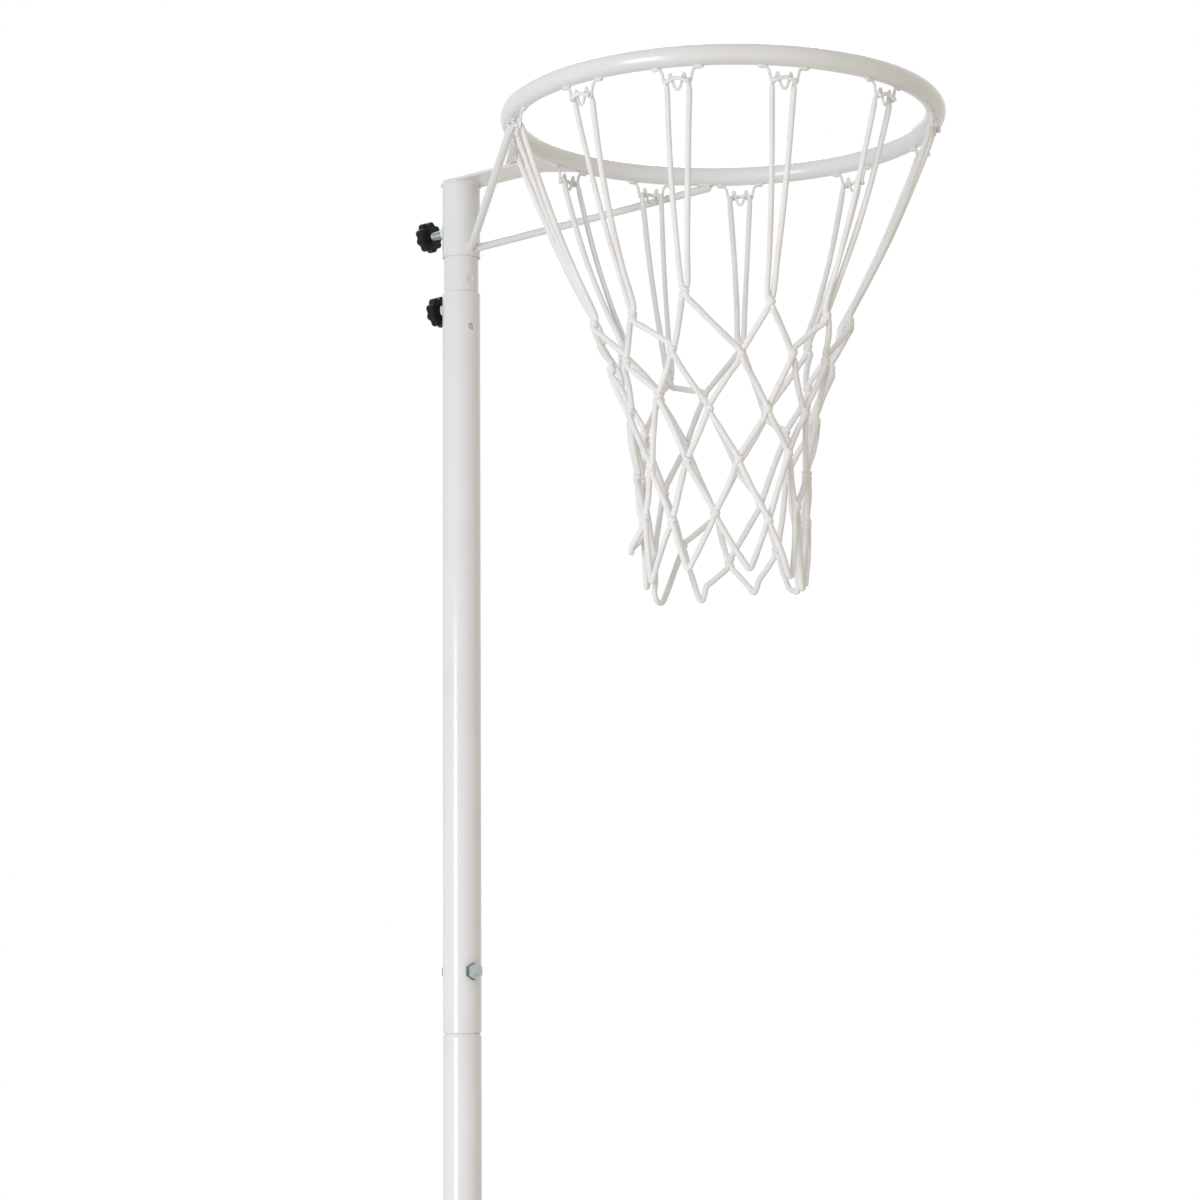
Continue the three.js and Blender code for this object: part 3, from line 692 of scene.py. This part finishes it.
def knob(name, inner_face):
    """Nine-lobed knob: soft lobes, a dished face with a small cap, and a hub on the post's side."""
    lobes, steps = 9, 216
    outer, lobe_depth, lobe_power, thick = 15.75, 2.0, 1.3, 9.5
    back_edge, front_edge = 1.6, 1.9
    back, front = inner_face, inner_face + thick
    hub = [(4.4, -1.8), (7.9, -1.8), (8.5, -1.4), (8.6, -0.2), (9.2, 0)]
    cap = [(8.6, -1.3), (7.2, -1.5), (6.3, -1.5), (6.0, -1.1), (5.9, -0.35), (5.4, -0.05), (4.0, 0)]
    socket_r, socket_depth = 4.3, 5.2
    bends = [polar(1, QUARTER * k / 5) for k in range(6)]
    verts, faces = [], []

    def round_ring(radius, z):
        return add_ring(verts, [(radius, turn, z) for turn in turns(steps)])

    def lobed_ring(inset, z):
        spots = []
        for turn in turns(steps):
            wave = 0.5 - 0.5 * math.cos(lobes * turn)
            spots.append((outer - lobe_depth * wave ** lobe_power - inset, turn, z))
        return add_ring(verts, spots)

    rows = [round_ring(radius, back + lift) for radius, lift in hub]
    rows.append(lobed_ring(back_edge + 0.1, back))
    rows += [lobed_ring(back_edge * (1 - y), back + back_edge * (1 - x)) for x, y in bends[1:]]
    rows += [lobed_ring(front_edge * (1 - x), front - front_edge * (1 - y)) for x, y in bends]
    rows.append(lobed_ring(front_edge + 0.7, front - 0.1))
    rows += [round_ring(radius, front + lift) for radius, lift in cap]
    add_bands(faces, rows)
    faces.append(rows[-1])

    # The blind hole for the stud
    socket = round_ring(socket_r, back + socket_depth)
    add_bands(faces, [socket, rows[0]])
    faces.append(socket)
    return add_object(name, verts, faces, plastic, 30)


def clamp(name, height, stand, group, stud_body, knob_body):
    """A welded nut, its weld and an M8 stud with a knob, whose hub's foot is stand away from the nut."""
    nut_flats, nut_height, nut_sink = 13, 5.2, 0.6
    inner_face = tube_r + nut_height - nut_sink + stand
    move = shifted(z=height) @ turned(-QUARTER, "Y")
    nut = hexagon(f"welded_nut_{name}", nut_flats, nut_height, tube_r - nut_sink, coat, bore=8.7)
    mount(place(nut, move), group, WHITE_STEEL, f"weld_nut_{name}")
    stud = threaded(f"clamp_stud_{name}", 8, 1.25, (inner_r + gap, inner_face + 5),
                    (inner_r + 1.5, inner_face + 6), tip=1.2)
    mount(place(stud, move), stud_body, ZINC_STEEL, f"stud_{name}")
    mount(place(knob(f"clamp_knob_{name}", inner_face), move), knob_body, "black_plastic", f"knob_{name}")
    weld_r, weld_thick, ripple = 7.3, 1.0, 0.16
    path = []
    for turn in turns(48):
        y, z = polar(weld_r, turn)
        at = Vector((-math.sqrt(tube_r ** 2 - y * y), y, height + z))
        path.append((at, weld_thick + ripple * math.sin(turn * 13)))
    mount(add_tube(f"nut_weld_{name}", path, 10, coat_weld, closed=True), group, WHITE_STEEL)


clamp("upper", upper_screw, 17, "head", "upper_stud", "upper_knob")
clamp("lower", lower_screw, 2.4, "post", "lower_stud", "lower_knob")


# Head

lip_out, lip_height = 0.5, 2.5
sleeve = revolve("ring_sleeve", rounded([
    (tube_bore, sleeve_start, 0.3), (tube_r, sleeve_start, 0.3),
    (tube_r + lip_out, sleeve_start + lip_height / 2, 0.6), (tube_r, sleeve_start + lip_height, 0.4),
    (tube_r, sleeve_end, 0.5), (tube_bore, sleeve_end, 0.3),
]), coat, tube_steps)
subtract(sleeve, [stud_cut(upper_screw)])
mount(soften(sleeve, tube_edge), "head", WHITE_STEEL, "sleeve")


def on_ring(angle, radius, height):
    """A point from the ring's middle: height is over the ring's plane."""
    return ring_middle + Vector((*polar(radius, angle), height))


def plate(name, outline, bottom):
    """A flat plate from an outline in the XY plane, with rounded edges, in a darker and warmer copy of the
    coat that is painted shade.
    """
    count = len(outline)
    verts = [(x, y, z) for z in (bottom, bottom + plate_thick) for x, y in outline]
    faces = [list(range(count)), list(range(count, 2 * count))]
    add_bands(faces, faces[:])
    return soften(add_object(name, verts, faces, coat_plate_painted_shade), 0.6, segments=3, limit=50)


# The arm bar reaches round the sleeve's top and, as the gusset does, up to the ring's outer side
edge_r = ring_r + ring_tube + gap
arm_spread = math.asin(tube_r / edge_r)
arm_outline = arc(reach, edge_r, math.pi + arm_spread, math.pi - arm_spread, 24)
arm_outline += arc(0, tube_r, QUARTER, 3 * QUARTER, 40)
mount(plate("arm_plate", arm_outline, ring_plane - plate_thick / 2), "head", WHITE_STEEL, "arm_bar")

gusset_spread, gusset_length, gusset_half = math.radians(23.6), 52.7, 17
gusset_start = reach - ring_r - ring_tube - gusset_length
gusset_outline = [(gusset_start, -gusset_half)]
gusset_outline += arc(reach, edge_r, math.pi + gusset_spread, math.pi - gusset_spread, 32)
gusset_outline.append((gusset_start, gusset_half))
gusset = plate("gusset", gusset_outline, ring_plane + plate_thick / 2 + gap)
mount(gusset, "head", WHITE_STEEL, "gusset_plate")


def ring_path(radius, steps):
    return [(on_ring(turn, ring_r, 0), radius) for turn in turns(steps)]


ring = add_tube("ring_tube", ring_path(ring_tube, 220), 36, coat, closed=True)
mount(ring, "head", WHITE_STEEL, "ring")


def bead(name, points, radius, ripple=0.14, closed=False):
    """A painted weld bead along points, with the even ripples of a hand weld."""
    path = smooth_path([(p, radius) for p in points], 4, closed)
    length, waved = 0.0, []
    for (before, _), (at, r) in zip(path[:1] + path, path):
        length += (at - before).length
        slow_wave = 0.06 * math.sin(length * 0.83 + 1.3)
        waved.append((at, r * (1 + ripple * math.sin(length * 2.4) + slow_wave)))
    mount(add_tube(name, waved, 10, coat_weld, closed), "head", WHITE_STEEL)


# The arm's end on the sleeve, both faces of the arm and the gusset on the ring
sleeve_top = [Vector((*polar(tube_r, turn), sleeve_end + 0.1)) for turn in turns(36)]
bead("weld_arm_sleeve", sleeve_top, 1.6, ripple=0.2, closed=True)
for tag, limit, height in (("arm", arm_spread, -2.6), ("gusset", gusset_spread, 4.6)):
    weld_r = ring_r + ring_tube * math.cos(height / ring_tube) + 0.2
    bead(f"weld_{tag}_ring", [
        on_ring(math.pi + limit * (1 - k / 7), weld_r, height) for k in range(15)
    ], 1.7)
for tag, side in (("left", 1), ("right", -1)):
    bead(f"weld_gusset_arm_{tag}", [
        Vector((gusset_start + x, side * (gusset_half + x * 0.35), ring_plane + 2.0)) for x in (1, 10, 19)
    ], 1.2)


def out_of_sleeve(start, along):
    """Where a line from inside the sleeve comes out, a little above the sleeve's skin."""
    flat, way = start.xy, along.xy
    a, b = way.dot(way), 2 * flat.dot(way)
    c = flat.dot(flat) - (tube_r + 0.1) ** 2
    return start + along * ((-b + math.sqrt(max(0.0, b * b - 4 * a * c))) / (2 * a))


def brace(name, side, node):
    """A rod from the sleeve to under the ring, with a weld at its foot and two under the ring."""
    rod_r, bite, past = 4.0, 1, 3
    foot_turn, foot_lift, end_turn = math.radians(13), 9, math.radians(46.5)
    x, y = polar(tube_r, foot_turn)
    foot = Vector((x, side * y, sleeve_start + foot_lift))
    under = on_ring(math.pi - side * end_turn, ring_r, -ring_tube - rod_r + bite)
    along = (under - foot).normalized()
    end = under + along * past
    path = [(foot - along, rod_r)]
    path += [(foot.lerp(end, k / 12), rod_r) for k in range(1, 12)]
    path.append((end, rod_r))
    rod = add_tube(name, path, 28, coat)

    # The ring and the sleeve cut their shapes out of the rod's ends
    skin, spare = 0.2, 40
    ring_cutter = add_tube("cutter", ring_path(ring_tube - skin, 120), 24, coat, closed=True)
    core = cylinder(tube_r - skin, sleeve_start - spare, sleeve_end + spare, 64)
    subtract(rod, [ring_cutter, core])
    mount(rod, "head", WHITE_STEEL, node)

    across = along.cross(UP).normalized()
    lift = across.cross(along).normalized()
    points = []
    for turn in turns(24):
        aside, above = polar(rod_r + gap, turn)
        points.append(out_of_sleeve(foot + (across * aside + lift * above), along))
    bead(f"weld_{name}_foot", points, 1.25, closed=True)
    for tag, beside in (("a", 1), ("b", -1)):
        line = []
        for k in range(5):
            spot = under + along * (-6 + 3.2 * k) + across * (beside * 3.4)
            off_middle = Vector((spot.x - reach, spot.y)).length - ring_r
            drop = math.sqrt(max(0.0, ring_tube ** 2 - min(abs(off_middle), ring_tube) ** 2))
            line.append(Vector((spot.x, spot.y, ring_plane - drop - 0.4)))
        bead(f"weld_{name}_ring_{tag}", line, 1.3)


brace("brace_rod_left", 1, "brace_left")
brace("brace_rod_right", -1, "brace_right")


# Net hooks

# How many degrees each hook was set away from its even place
hook_drift = [-4.9, -2.6, -4.6, -1.7, 3.5, -0.2, -2, -3.6, -3.6, -0.6, -3, -5.8]
hook_angles = [math.radians(drift) + turn for drift, turn in zip(hook_drift, turns(12))]
hook_wire, hook_half, hook_drop = 1.3, 22.0, 18.7
hook_top = -ring_tube - gap - hook_wire

# Half of the hook's wire, as shares of its half-width and its drop, from a tail to the middle
valley = (0.46, 0.72)
hook_shares = [
    (1, 0), (0.88, 0), (0.755, 0.004), (0.66, 0.09), (0.595, 0.32), (0.555, 0.58), (0.515, 0.695), valley,
    (0.4, 0.695), (0.35, 0.6), (0.325, 0.42), (0.28, 0.25), (0.23, 0.4), (0.14, 0.82), (0.06, 0.975), (0, 1),
]


def hook_point(angle, share, side, radius=ring_r):
    turn = angle + side * share[0] * hook_half / ring_r
    return on_ring(turn, radius, hook_top - share[1] * hook_drop)


for i, angle in enumerate(hook_angles):
    points = [(hook_point(angle, share, 1), hook_wire) for share in hook_shares]
    points += [(hook_point(angle, share, -1), hook_wire) for share in reversed(hook_shares[:-1])]
    wire = add_tube(f"wire_hook_{i + 1:02d}", smooth_path(points, 5), 14, coat)
    mount(wire, "head", WHITE_STEEL, f"net_hook_{i + 1:02d}")

# A long soft weld over each tail of each hook, from just inside its bend to past its end
hook_welds = ([], [], [])
weld_radii = (0.7, 1.7, 2.2, 2.35, 2.3, 2.0, 0.8)
weld_from, weld_share = 0.67, 0.4
for i, angle in enumerate(hook_angles):
    for side in (1, -1):
        points = []
        for k, radius in enumerate(weld_radii):
            share = weld_from + weld_share * k / (len(weld_radii) - 1)
            turn = angle + side * share * hook_half / ring_r
            wobble = 0.25 * math.sin(i * 2.3 + k * 1.9 + side)
            at = on_ring(turn, ring_r - 0.8 + wobble, hook_top + hook_wire + wobble * 0.5)
            points.append((at, radius + wobble * 0.4))
        sweep(smooth_path(points, 4), 16, into=hook_welds, flat=1.25, spoke=UP)
mount(add_object("hook_welds", hook_welds[0], hook_welds[1], coat_weld), "head", WHITE_STEEL)


# Net

# The net's radius at each drop below the ring
net_profile = [
    (0, 199.5), (150, 142), (195, 125), (225, 110), (245, 103.5), (268, 96), (290, 89.5), (312, 85.5),
    (340, 82.5), (385, 79.5), (410, 77.5), (440, 76), (480, 75),
]

# Each knot's degrees from its hook, or from the middle between two hooks in every second row, and its drop
knot_turns = [
    [5.8, 0.2, 4.8, -1.9, -2.2, 8.4, 4.3, -3.1, -7, -5.6, -5.2, 4.1],
    [3.0, 9.9, 4.9, -1.4, 3.4, 2.2, 8.1, -6.2, -4.4, -1.9, 5.8, 5.2],
    [9.2, 1.5, 7.8, -0.6, -2.1, 4.3, 9.3, 3.0, -2.5, -2.2, 1.7, 9.6],
    [6.3, 12.2, 10.2, -1.2, -0.3, 10.1, 10.6, -4, -1.2, -0.2, 5.5, 12.4],
    [8.5, 0.3, 8.5, 2.5, 3.2, 10.9, 12.7, 2, 1.6, -0.1, 3.7, 12.9],
]
knot_drops = [
    [206, 201, 202, 202, 190, 230, 201, 203, 199, 206, 192, 202],
    [242, 237, 247, 266, 246, 248, 243, 236, 241, 240, 247, 243],
    [290, 293, 291, 291, 318, 297, 291, 288, 283, 278, 293, 293],
    [345, 337, 332, 354, 362, 344, 339, 339, 341, 338, 339, 330],
    [377, 387, 399, 402, 410, 398, 405, 386, 382, 390, 388, 393],
]

# The same for the lower loops, from the middle between two hooks, with the half-width of each
loop_turns = [9.5, 4, -5.4, 3.2, 11.3, 21.8, 14, -1.8, -11.8, -2.7, 12.6, 18.3]
loop_drops = [449, 441, 445, 440, 447, 453, 441, 411, 442, 435, 437, 441]
loop_widths = [3.2, 3.0, 4.0, 2.6, 2.8, 9.5, 3.0, 4.2, 3.2, 2.4, 2.6, 3.4]

# Loops that hang askew: how far aside and up each of their two shoulders is, and one that stands out
loop_shoulders = {2: ((4, 4), (12, 5)), 3: ((6, 12), (2.6, 3)), 4: ((5.5, 14), (2.8, 3))}
loop_pushes = {7: 11}

# The cord's radius in the diamonds, above the first knots, and where a hook squeezes it
lattice_r, upper_r, squeezed_r = 2.8, 2.65, 1.75

# The net hangs a little drawn in on one side
pull_turn, pull_depth = math.radians(41), 4.5


def net_radius(drop):
    for (d0, r0), (d1, r1) in zip(net_profile, net_profile[1:]):
        if drop <= d1:
            break
    return r0 + (r1 - r0) * (drop - d0) / (d1 - d0)


def pulled_in(turn):
    return pull_depth * max(0, math.cos(turn - pull_turn)) ** 2


def between(i):
    following = hook_angles[(i + 1) % 12] + (TAU if i == 11 else 0)
    return (hook_angles[i] + following) / 2


def knot_frame(row, i):
    """A knot's middle, the way out from the net's axis and the way round it."""
    turn = (between(i) if row % 2 else hook_angles[i]) + math.radians(knot_turns[row][i])
    drop = knot_drops[row][i]
    out = Vector((*polar(1, turn), 0))
    return on_ring(turn, net_radius(drop) - pulled_in(turn), -drop), out, Vector((-out.y, out.x, 0))


net_lists = ([], [], [])


def lay(points, per_segment, sides=12, closed=False, flat=0.9, spoke=None):
    """Adds a strand of cord to the net."""
    sweep(smooth_path(points, per_segment, closed), sides, closed, net_lists, 8.5, flat, spoke)


def leg(row, i, which, vertical):
    """A strand's points from a knot's middle outwards: which is its side, vertical is up or down."""
    centre, out, side = knot_frame(row, i)
    layer = -which * vertical * (1 if math.sin(row * 2.7 + i * 1.9) > -0.2 else -1)
    lean = 0.3 * math.sin(row * 1.3 + i * 2.1)
    return [
        (centre + out * (layer * 1.3), 2.3),
        (centre + side * (which * 1.2 + lean) + UP * (vertical * 2.8) + out * (layer * 1.1), 2.5),
        (centre + side * (which * 2.6 + lean) + UP * (vertical * 6.2) + out * (layer * 0.5), lattice_r),
    ]


def slack_points(start, end, knot_at, seed, radius, bow=0.0):
    """Points of a strand that hangs a little slack between two places and bows outwards."""
    _, out, side = knot_frame(*knot_at)
    points = []
    away, sway = bow + 1.4 * math.sin(seed), 0.7 * math.sin(seed * 1.7 + 1)
    for k in range(1, 5):
        belly = math.sin(math.pi * k / 5)
        swell = 1 + 0.05 * math.sin(seed * 3.1 + k * 2.3)
        points.append((start.lerp(end, k / 5) + out * (away * belly) + side * (sway * belly), radius * swell))
    return points


def lay_knot(row, i):
    """A soft body under the crossing cords, and two low slanting wraps round them."""
    centre, out, side = knot_frame(row, i)
    slant = 0.5 * math.sin(i * 2.9 + row * 1.1)
    tall = 5.6 + 0.8 * math.sin(i * 1.3 + row * 2.2)
    swell = ((-1, 1.3), (-0.75, 2.5), (-0.35, 3.4), (0, 3.7), (0.35, 3.5), (0.75, 2.6), (1, 1.3))
    body = [(centre + UP * (tall * h) + side * (slant * h), radius) for h, radius in swell]
    lay(body, 3, sides=16, flat=0.88, spoke=side)
    for level, lift in ((-1, 0.55), (1, -0.35)):
        wrap = []
        for turn in turns(12):
            across, depth = 3.3 * math.cos(turn), 2.75 * math.sin(turn)
            height = level * 1.9 + across * (lift + slant * 0.6) + 0.3 * math.sin(2 * turn + i)
            wrap.append((centre + side * across + out * depth + UP * height, 1.55))
        lay(wrap, 3, sides=10, closed=True, flat=1.0)


def lay_diamond_strands(row, i):
    """The two strands from a knot down to the next row."""
    right = (i + 1) % 12 if row % 2 else i
    left = i if row % 2 else (i - 1) % 12
    for which, target in ((1, right), (-1, left)):
        start, goal = leg(row, i, which, -1), leg(row + 1, target, -which, 1)
        seed = i * 1.9 + row * 2.7 + which
        middle = slack_points(start[-1][0], goal[-1][0], (row, i), seed, lattice_r)
        lay(start + middle + goal[::-1], 4)


def lay_hook_loop(i, angle):
    """From a first knot up the inner side of its hook, over both valleys and across behind it."""
    around = hook_wire + 0.1 + squeezed_r
    halves = []
    for which in (1, -1):
        points = leg(0, i, which, 1)
        low = hook_point(angle, valley, which, ring_r - around + squeezed_r - upper_r)
        low.z -= around + 2
        points += slack_points(points[-1][0], low, (0, i), i * 2.2 + which, upper_r, bow=4.5)
        points.append((low, upper_r))
        for k in range(6):
            lift = math.radians(160) * k / 5
            at = hook_point(angle, valley, which, ring_r - around * math.cos(lift))
            at.z += around * math.sin(lift)
            points.append((at, squeezed_r))
        halves.append(points)
    bridge = [(hook_point(angle, (0, 0.5), 1, ring_r + around), squeezed_r + 0.1)]
    lay(halves[0] + bridge + halves[1][::-1], 5)


def lay_open_loop(i):
    """A loop of the lower edge, between two knots of the last row."""
    start, end = leg(4, i, 1, -1), leg(4, (i + 1) % 12, -1, -1)
    turn = between(i) + math.radians(loop_turns[i])
    radius = net_radius(loop_drops[i]) + 1.2 * math.sin(i * 1.3) + loop_pushes.get(i, 0) - pulled_in(turn)
    wide = loop_widths[i]
    left, right = loop_shoulders.get(i, ((wide, wide * 0.9),) * 2)
    inner, inner_lift = wide * 0.55, wide * 0.22
    tips = []
    for aside, lift in ((-left[0], left[1]), (-inner, inner_lift), (0, 0), (inner, inner_lift), right):
        tips.append((on_ring(turn + aside / radius, radius, lift - loop_drops[i]), lattice_r))
    down = slack_points(start[-1][0], tips[0][0], (4, i), i * 2.4, lattice_r)
    rise = slack_points(end[-1][0], tips[-1][0], (4, i), i * 1.6 + 2, lattice_r)
    lay(start + down + tips + rise[::-1] + end[::-1], 4)


for row in range(5):
    for i in range(12):
        lay_knot(row, i)
for row in range(4):
    for i in range(12):
        lay_diamond_strands(row, i)
for i, angle in enumerate(hook_angles):
    lay_hook_loop(i, angle)
for i in range(12):
    lay_open_loop(i)
net = add_object("knotted_net", net_lists[0], net_lists[1], cord_fibre, 60, net_lists[2])
mount(net, "head", "white_cord", "net")


# Base

base_r, rim_r, pad_r, hollow = 300, 291, 105, 6
rim_height, top_slope = 34, 0.2934
groove_step, groove_depth = 2, 1.1
flange_r, bolt_circle, clearance_r = 90, 65, 5.3
insert_bottom, insert_r, insert_bore = 60, 8, 5.2
washer_r = 10


def base_top(radius, sink=0.0, edge=0.8):
    """A corner on the base's sloping top, sunk by a groove's depth, with its edge's radius."""
    return radius, rim_height + (rim_r - radius) * top_slope - sink, edge


def groove(outer):
    """The corners of a shallow groove round the base's top."""
    sinks = (0, groove_depth, groove_depth, 0)
    return [base_top(outer - k * groove_step, sink) for k, sink in enumerate(sinks)]


def at_bolt(i):
    x, y = polar(bolt_circle, (i + 0.5) / 4 * TAU)
    return shifted(x, y)


base_profile = rounded([
    (0, 0, 0), (pad_r, 0, 2), (pad_r + 5, hollow, 2), (263, hollow, 2), (268, 0, 2),
    (base_r - 4.5, 0, 2), (base_r, 4.5, 2.5), base_top(base_r, edge=9),
    *groove(237), *groove(179), (124, 83, 5), (110, base_height, 4), (0, base_height, 0),
], 5, closed=False)
base = revolve("weighted_base", base_profile, rubber, 192, closed=False, angle=28)
well_r, step_height, well_bottom = insert_r + gap, insert_bottom - gap, insert_bottom - gap - 6
well_profile = [
    (0, well_bottom), (clearance_r, well_bottom), (clearance_r, step_height),
    (well_r, step_height), (well_r, base_height + 2), (0, base_height + 2),
]
subtract(base, [
    place(revolve("cutter", well_profile, rubber, 40, closed=False), at_bolt(i)) for i in range(4)
], 28)
mount(base, "post", "black_rubber", "base_disc")

flange = revolve("base_flange", rounded([
    (0, flange_bottom, 0), (flange_r, flange_bottom, 0.4), (flange_r, flange_top, 1.2), (0, flange_top, 0),
], closed=False), coat, 128, closed=False)
subtract(flange, [
    place(cylinder(clearance_r, flange_bottom - 2, flange_top + 2, 40), at_bolt(i)) for i in range(4)
])
mount(flange, "post", WHITE_STEEL, "base_plate")

spigot = pipe("base_spigot_tube", (neck_bore, neck_r), (post_start, post_start + neck),
              (0.2, 0.2, 0.6, 0.3), coat)
subtract(spigot, [bolt_cut("lower")])
mount(spigot, "post", WHITE_STEEL, "base_spigot")

washer_top = post_start + washer_thick
head_bottom, rod_bottom, thread_end = washer_top + gap, 61.9, 86
for i in range(4):
    at = at_bolt(i) @ turned(0.4 + i * 1.1, "Z")
    washer = pipe(f"flange_washer_{i + 1}", (clearance_r, washer_r), (post_start, washer_top),
                  (0.2, 0.3, 0.5, 0.3), zinc, 64)
    mount(place(washer, at), "post", ZINC_STEEL, f"base_washer_{i + 1}")
    head = hexagon("head", 16, head_height, head_bottom, zinc)
    rod = threaded("rod", m10, m10_pitch, (rod_bottom, head_bottom + 2), (rod_bottom, thread_end))
    bolt = joined(f"flange_bolt_{i + 1}", [head, rod])
    mount(place(bolt, at), "post", ZINC_STEEL, f"base_bolt_{i + 1}")
    insert = pipe(f"threaded_insert_{i + 1}", (insert_bore, insert_r), (insert_bottom, base_height),
                  (0.2, 0.4, 0.4, 0.3), zinc, 48)
    mount(place(insert, at), "post", ZINC_STEEL, f"base_insert_{i + 1}")


# Floor

def make_floor():
    """A plain pale round floor that fades out towards its edge."""
    radius, height = 2600, -0.4
    fade_start, fade_end = 1.0, 2.45  # metres from the post
    stops = [(0.3, (0.67, 0.64, 0.59)), (0.7, (0.71, 0.68, 0.63))]
    material, tree, shader, coords = new_material("studio_floor", dict(scale=3, detail=3), stops)
    shader.inputs["Roughness"].default_value = 0.7
    distance = add_math(tree, "LENGTH", coords, kind="VectorMath")
    fade = add_range(tree, distance, 0, 1, fade_start, fade_end)
    clear = add_node(tree, "BsdfTransparent").outputs["BSDF"]
    faded = add_mix(tree, fade, shader.outputs["BSDF"], clear)
    feed(tree, tree.nodes["Material Output"].inputs["Surface"], faded)
    return revolve("floor", [(radius, height), (0, height)], material, closed=False)


make_floor()


# World and lamps, in metres

to_right = Vector((0.7615, 0.6481, 0))
to_front = Vector((0.6481, -0.7615, 0))


def make_world():
    """Soft light, warmer from below and the right, with plain white for the eye, gloss and glass."""
    world = bpy.data.worlds.new("studio")
    world.use_nodes = True
    scene.world = world
    tree = world.node_tree
    tree.nodes.clear()
    coords = add_node(tree, "TexCoord").outputs["Generated"]

    def share_along(way):
        """0 to 1 for the sky's directions, from the way's far side to the way itself."""
        return add_range(tree, add_math(tree, "DOT_PRODUCT", coords, way, kind="VectorMath"), 0, 1, -1, 1)

    def multiply(a, b):
        return add_math(tree, "MULTIPLY", a, b, kind="VectorMath", result="Vector")

    warmth = add_ramp(tree, share_along(UP), [
        (0.0, (0.70, 0.62, 0.51)), (0.3, (0.88, 0.84, 0.77)), (0.48, (0.98, 0.97, 0.95)), (0.55, (1, 1, 1)),
    ])
    tint = add_ramp(tree, share_along(to_right), [
        (0.0, (0.655, 0.68, 0.745)), (0.5, (0.757, 0.768, 0.812)), (1.0, (0.90, 0.845, 0.675)),
    ])
    depth = add_ramp(tree, share_along(to_front), [
        (0.0, (0.77,) * 3), (0.5, (0.91,) * 3), (1.0, (1.07,) * 3),
    ])
    sky = multiply(multiply(tint, warmth), depth)
    soft = add_node(tree, "Background", Color=sky, Strength=0.81).outputs["Background"]
    white = add_node(tree, "Background", Color=(1, 1, 1, 1), Strength=1.0).outputs["Background"]
    rays = add_node(tree, "LightPath").outputs
    direct = add_math(tree, "MAXIMUM", rays["Is Camera Ray"], rays["Is Glossy Ray"])
    direct = add_math(tree, "MAXIMUM", direct, rays["Is Transmission Ray"])
    add_node(tree, "OutputWorld", Surface=add_mix(tree, direct, soft, white))


def add_area(name, position, target, size, power, colour):
    data = bpy.data.lights.new(name, "AREA")
    data.shape = "RECTANGLE"
    data.size, data.size_y = size
    data.energy = power
    data.color = colour
    lamp = bpy.data.objects.new(name, data)
    scene.collection.objects.link(lamp)
    lamp.location = position
    lamp.rotation_mode = "QUATERNION"
    lamp.rotation_quaternion = (Vector(target) - position).to_track_quat("-Z", "Y")


make_world()

# The key lamp stands at the left of the camera
key_turn = math.radians(-36)
key_way = to_front * math.cos(key_turn) + to_right * math.sin(key_turn)
add_area("key", key_way * 3.4 + UP * 1.25, (0, 0, 1.4), size=(1.2, 2.3), power=60, colour=(0.955, 0.965, 1.0))

# A high soft lamp for the sides that face away
add_area("fill", to_front * -2.6 + UP * 5.2, (0.2, 0, 1.6), size=(2.4, 2.4), power=85, colour=(1, 0.99, 0.97))

scene.view_settings.view_transform = "Standard"
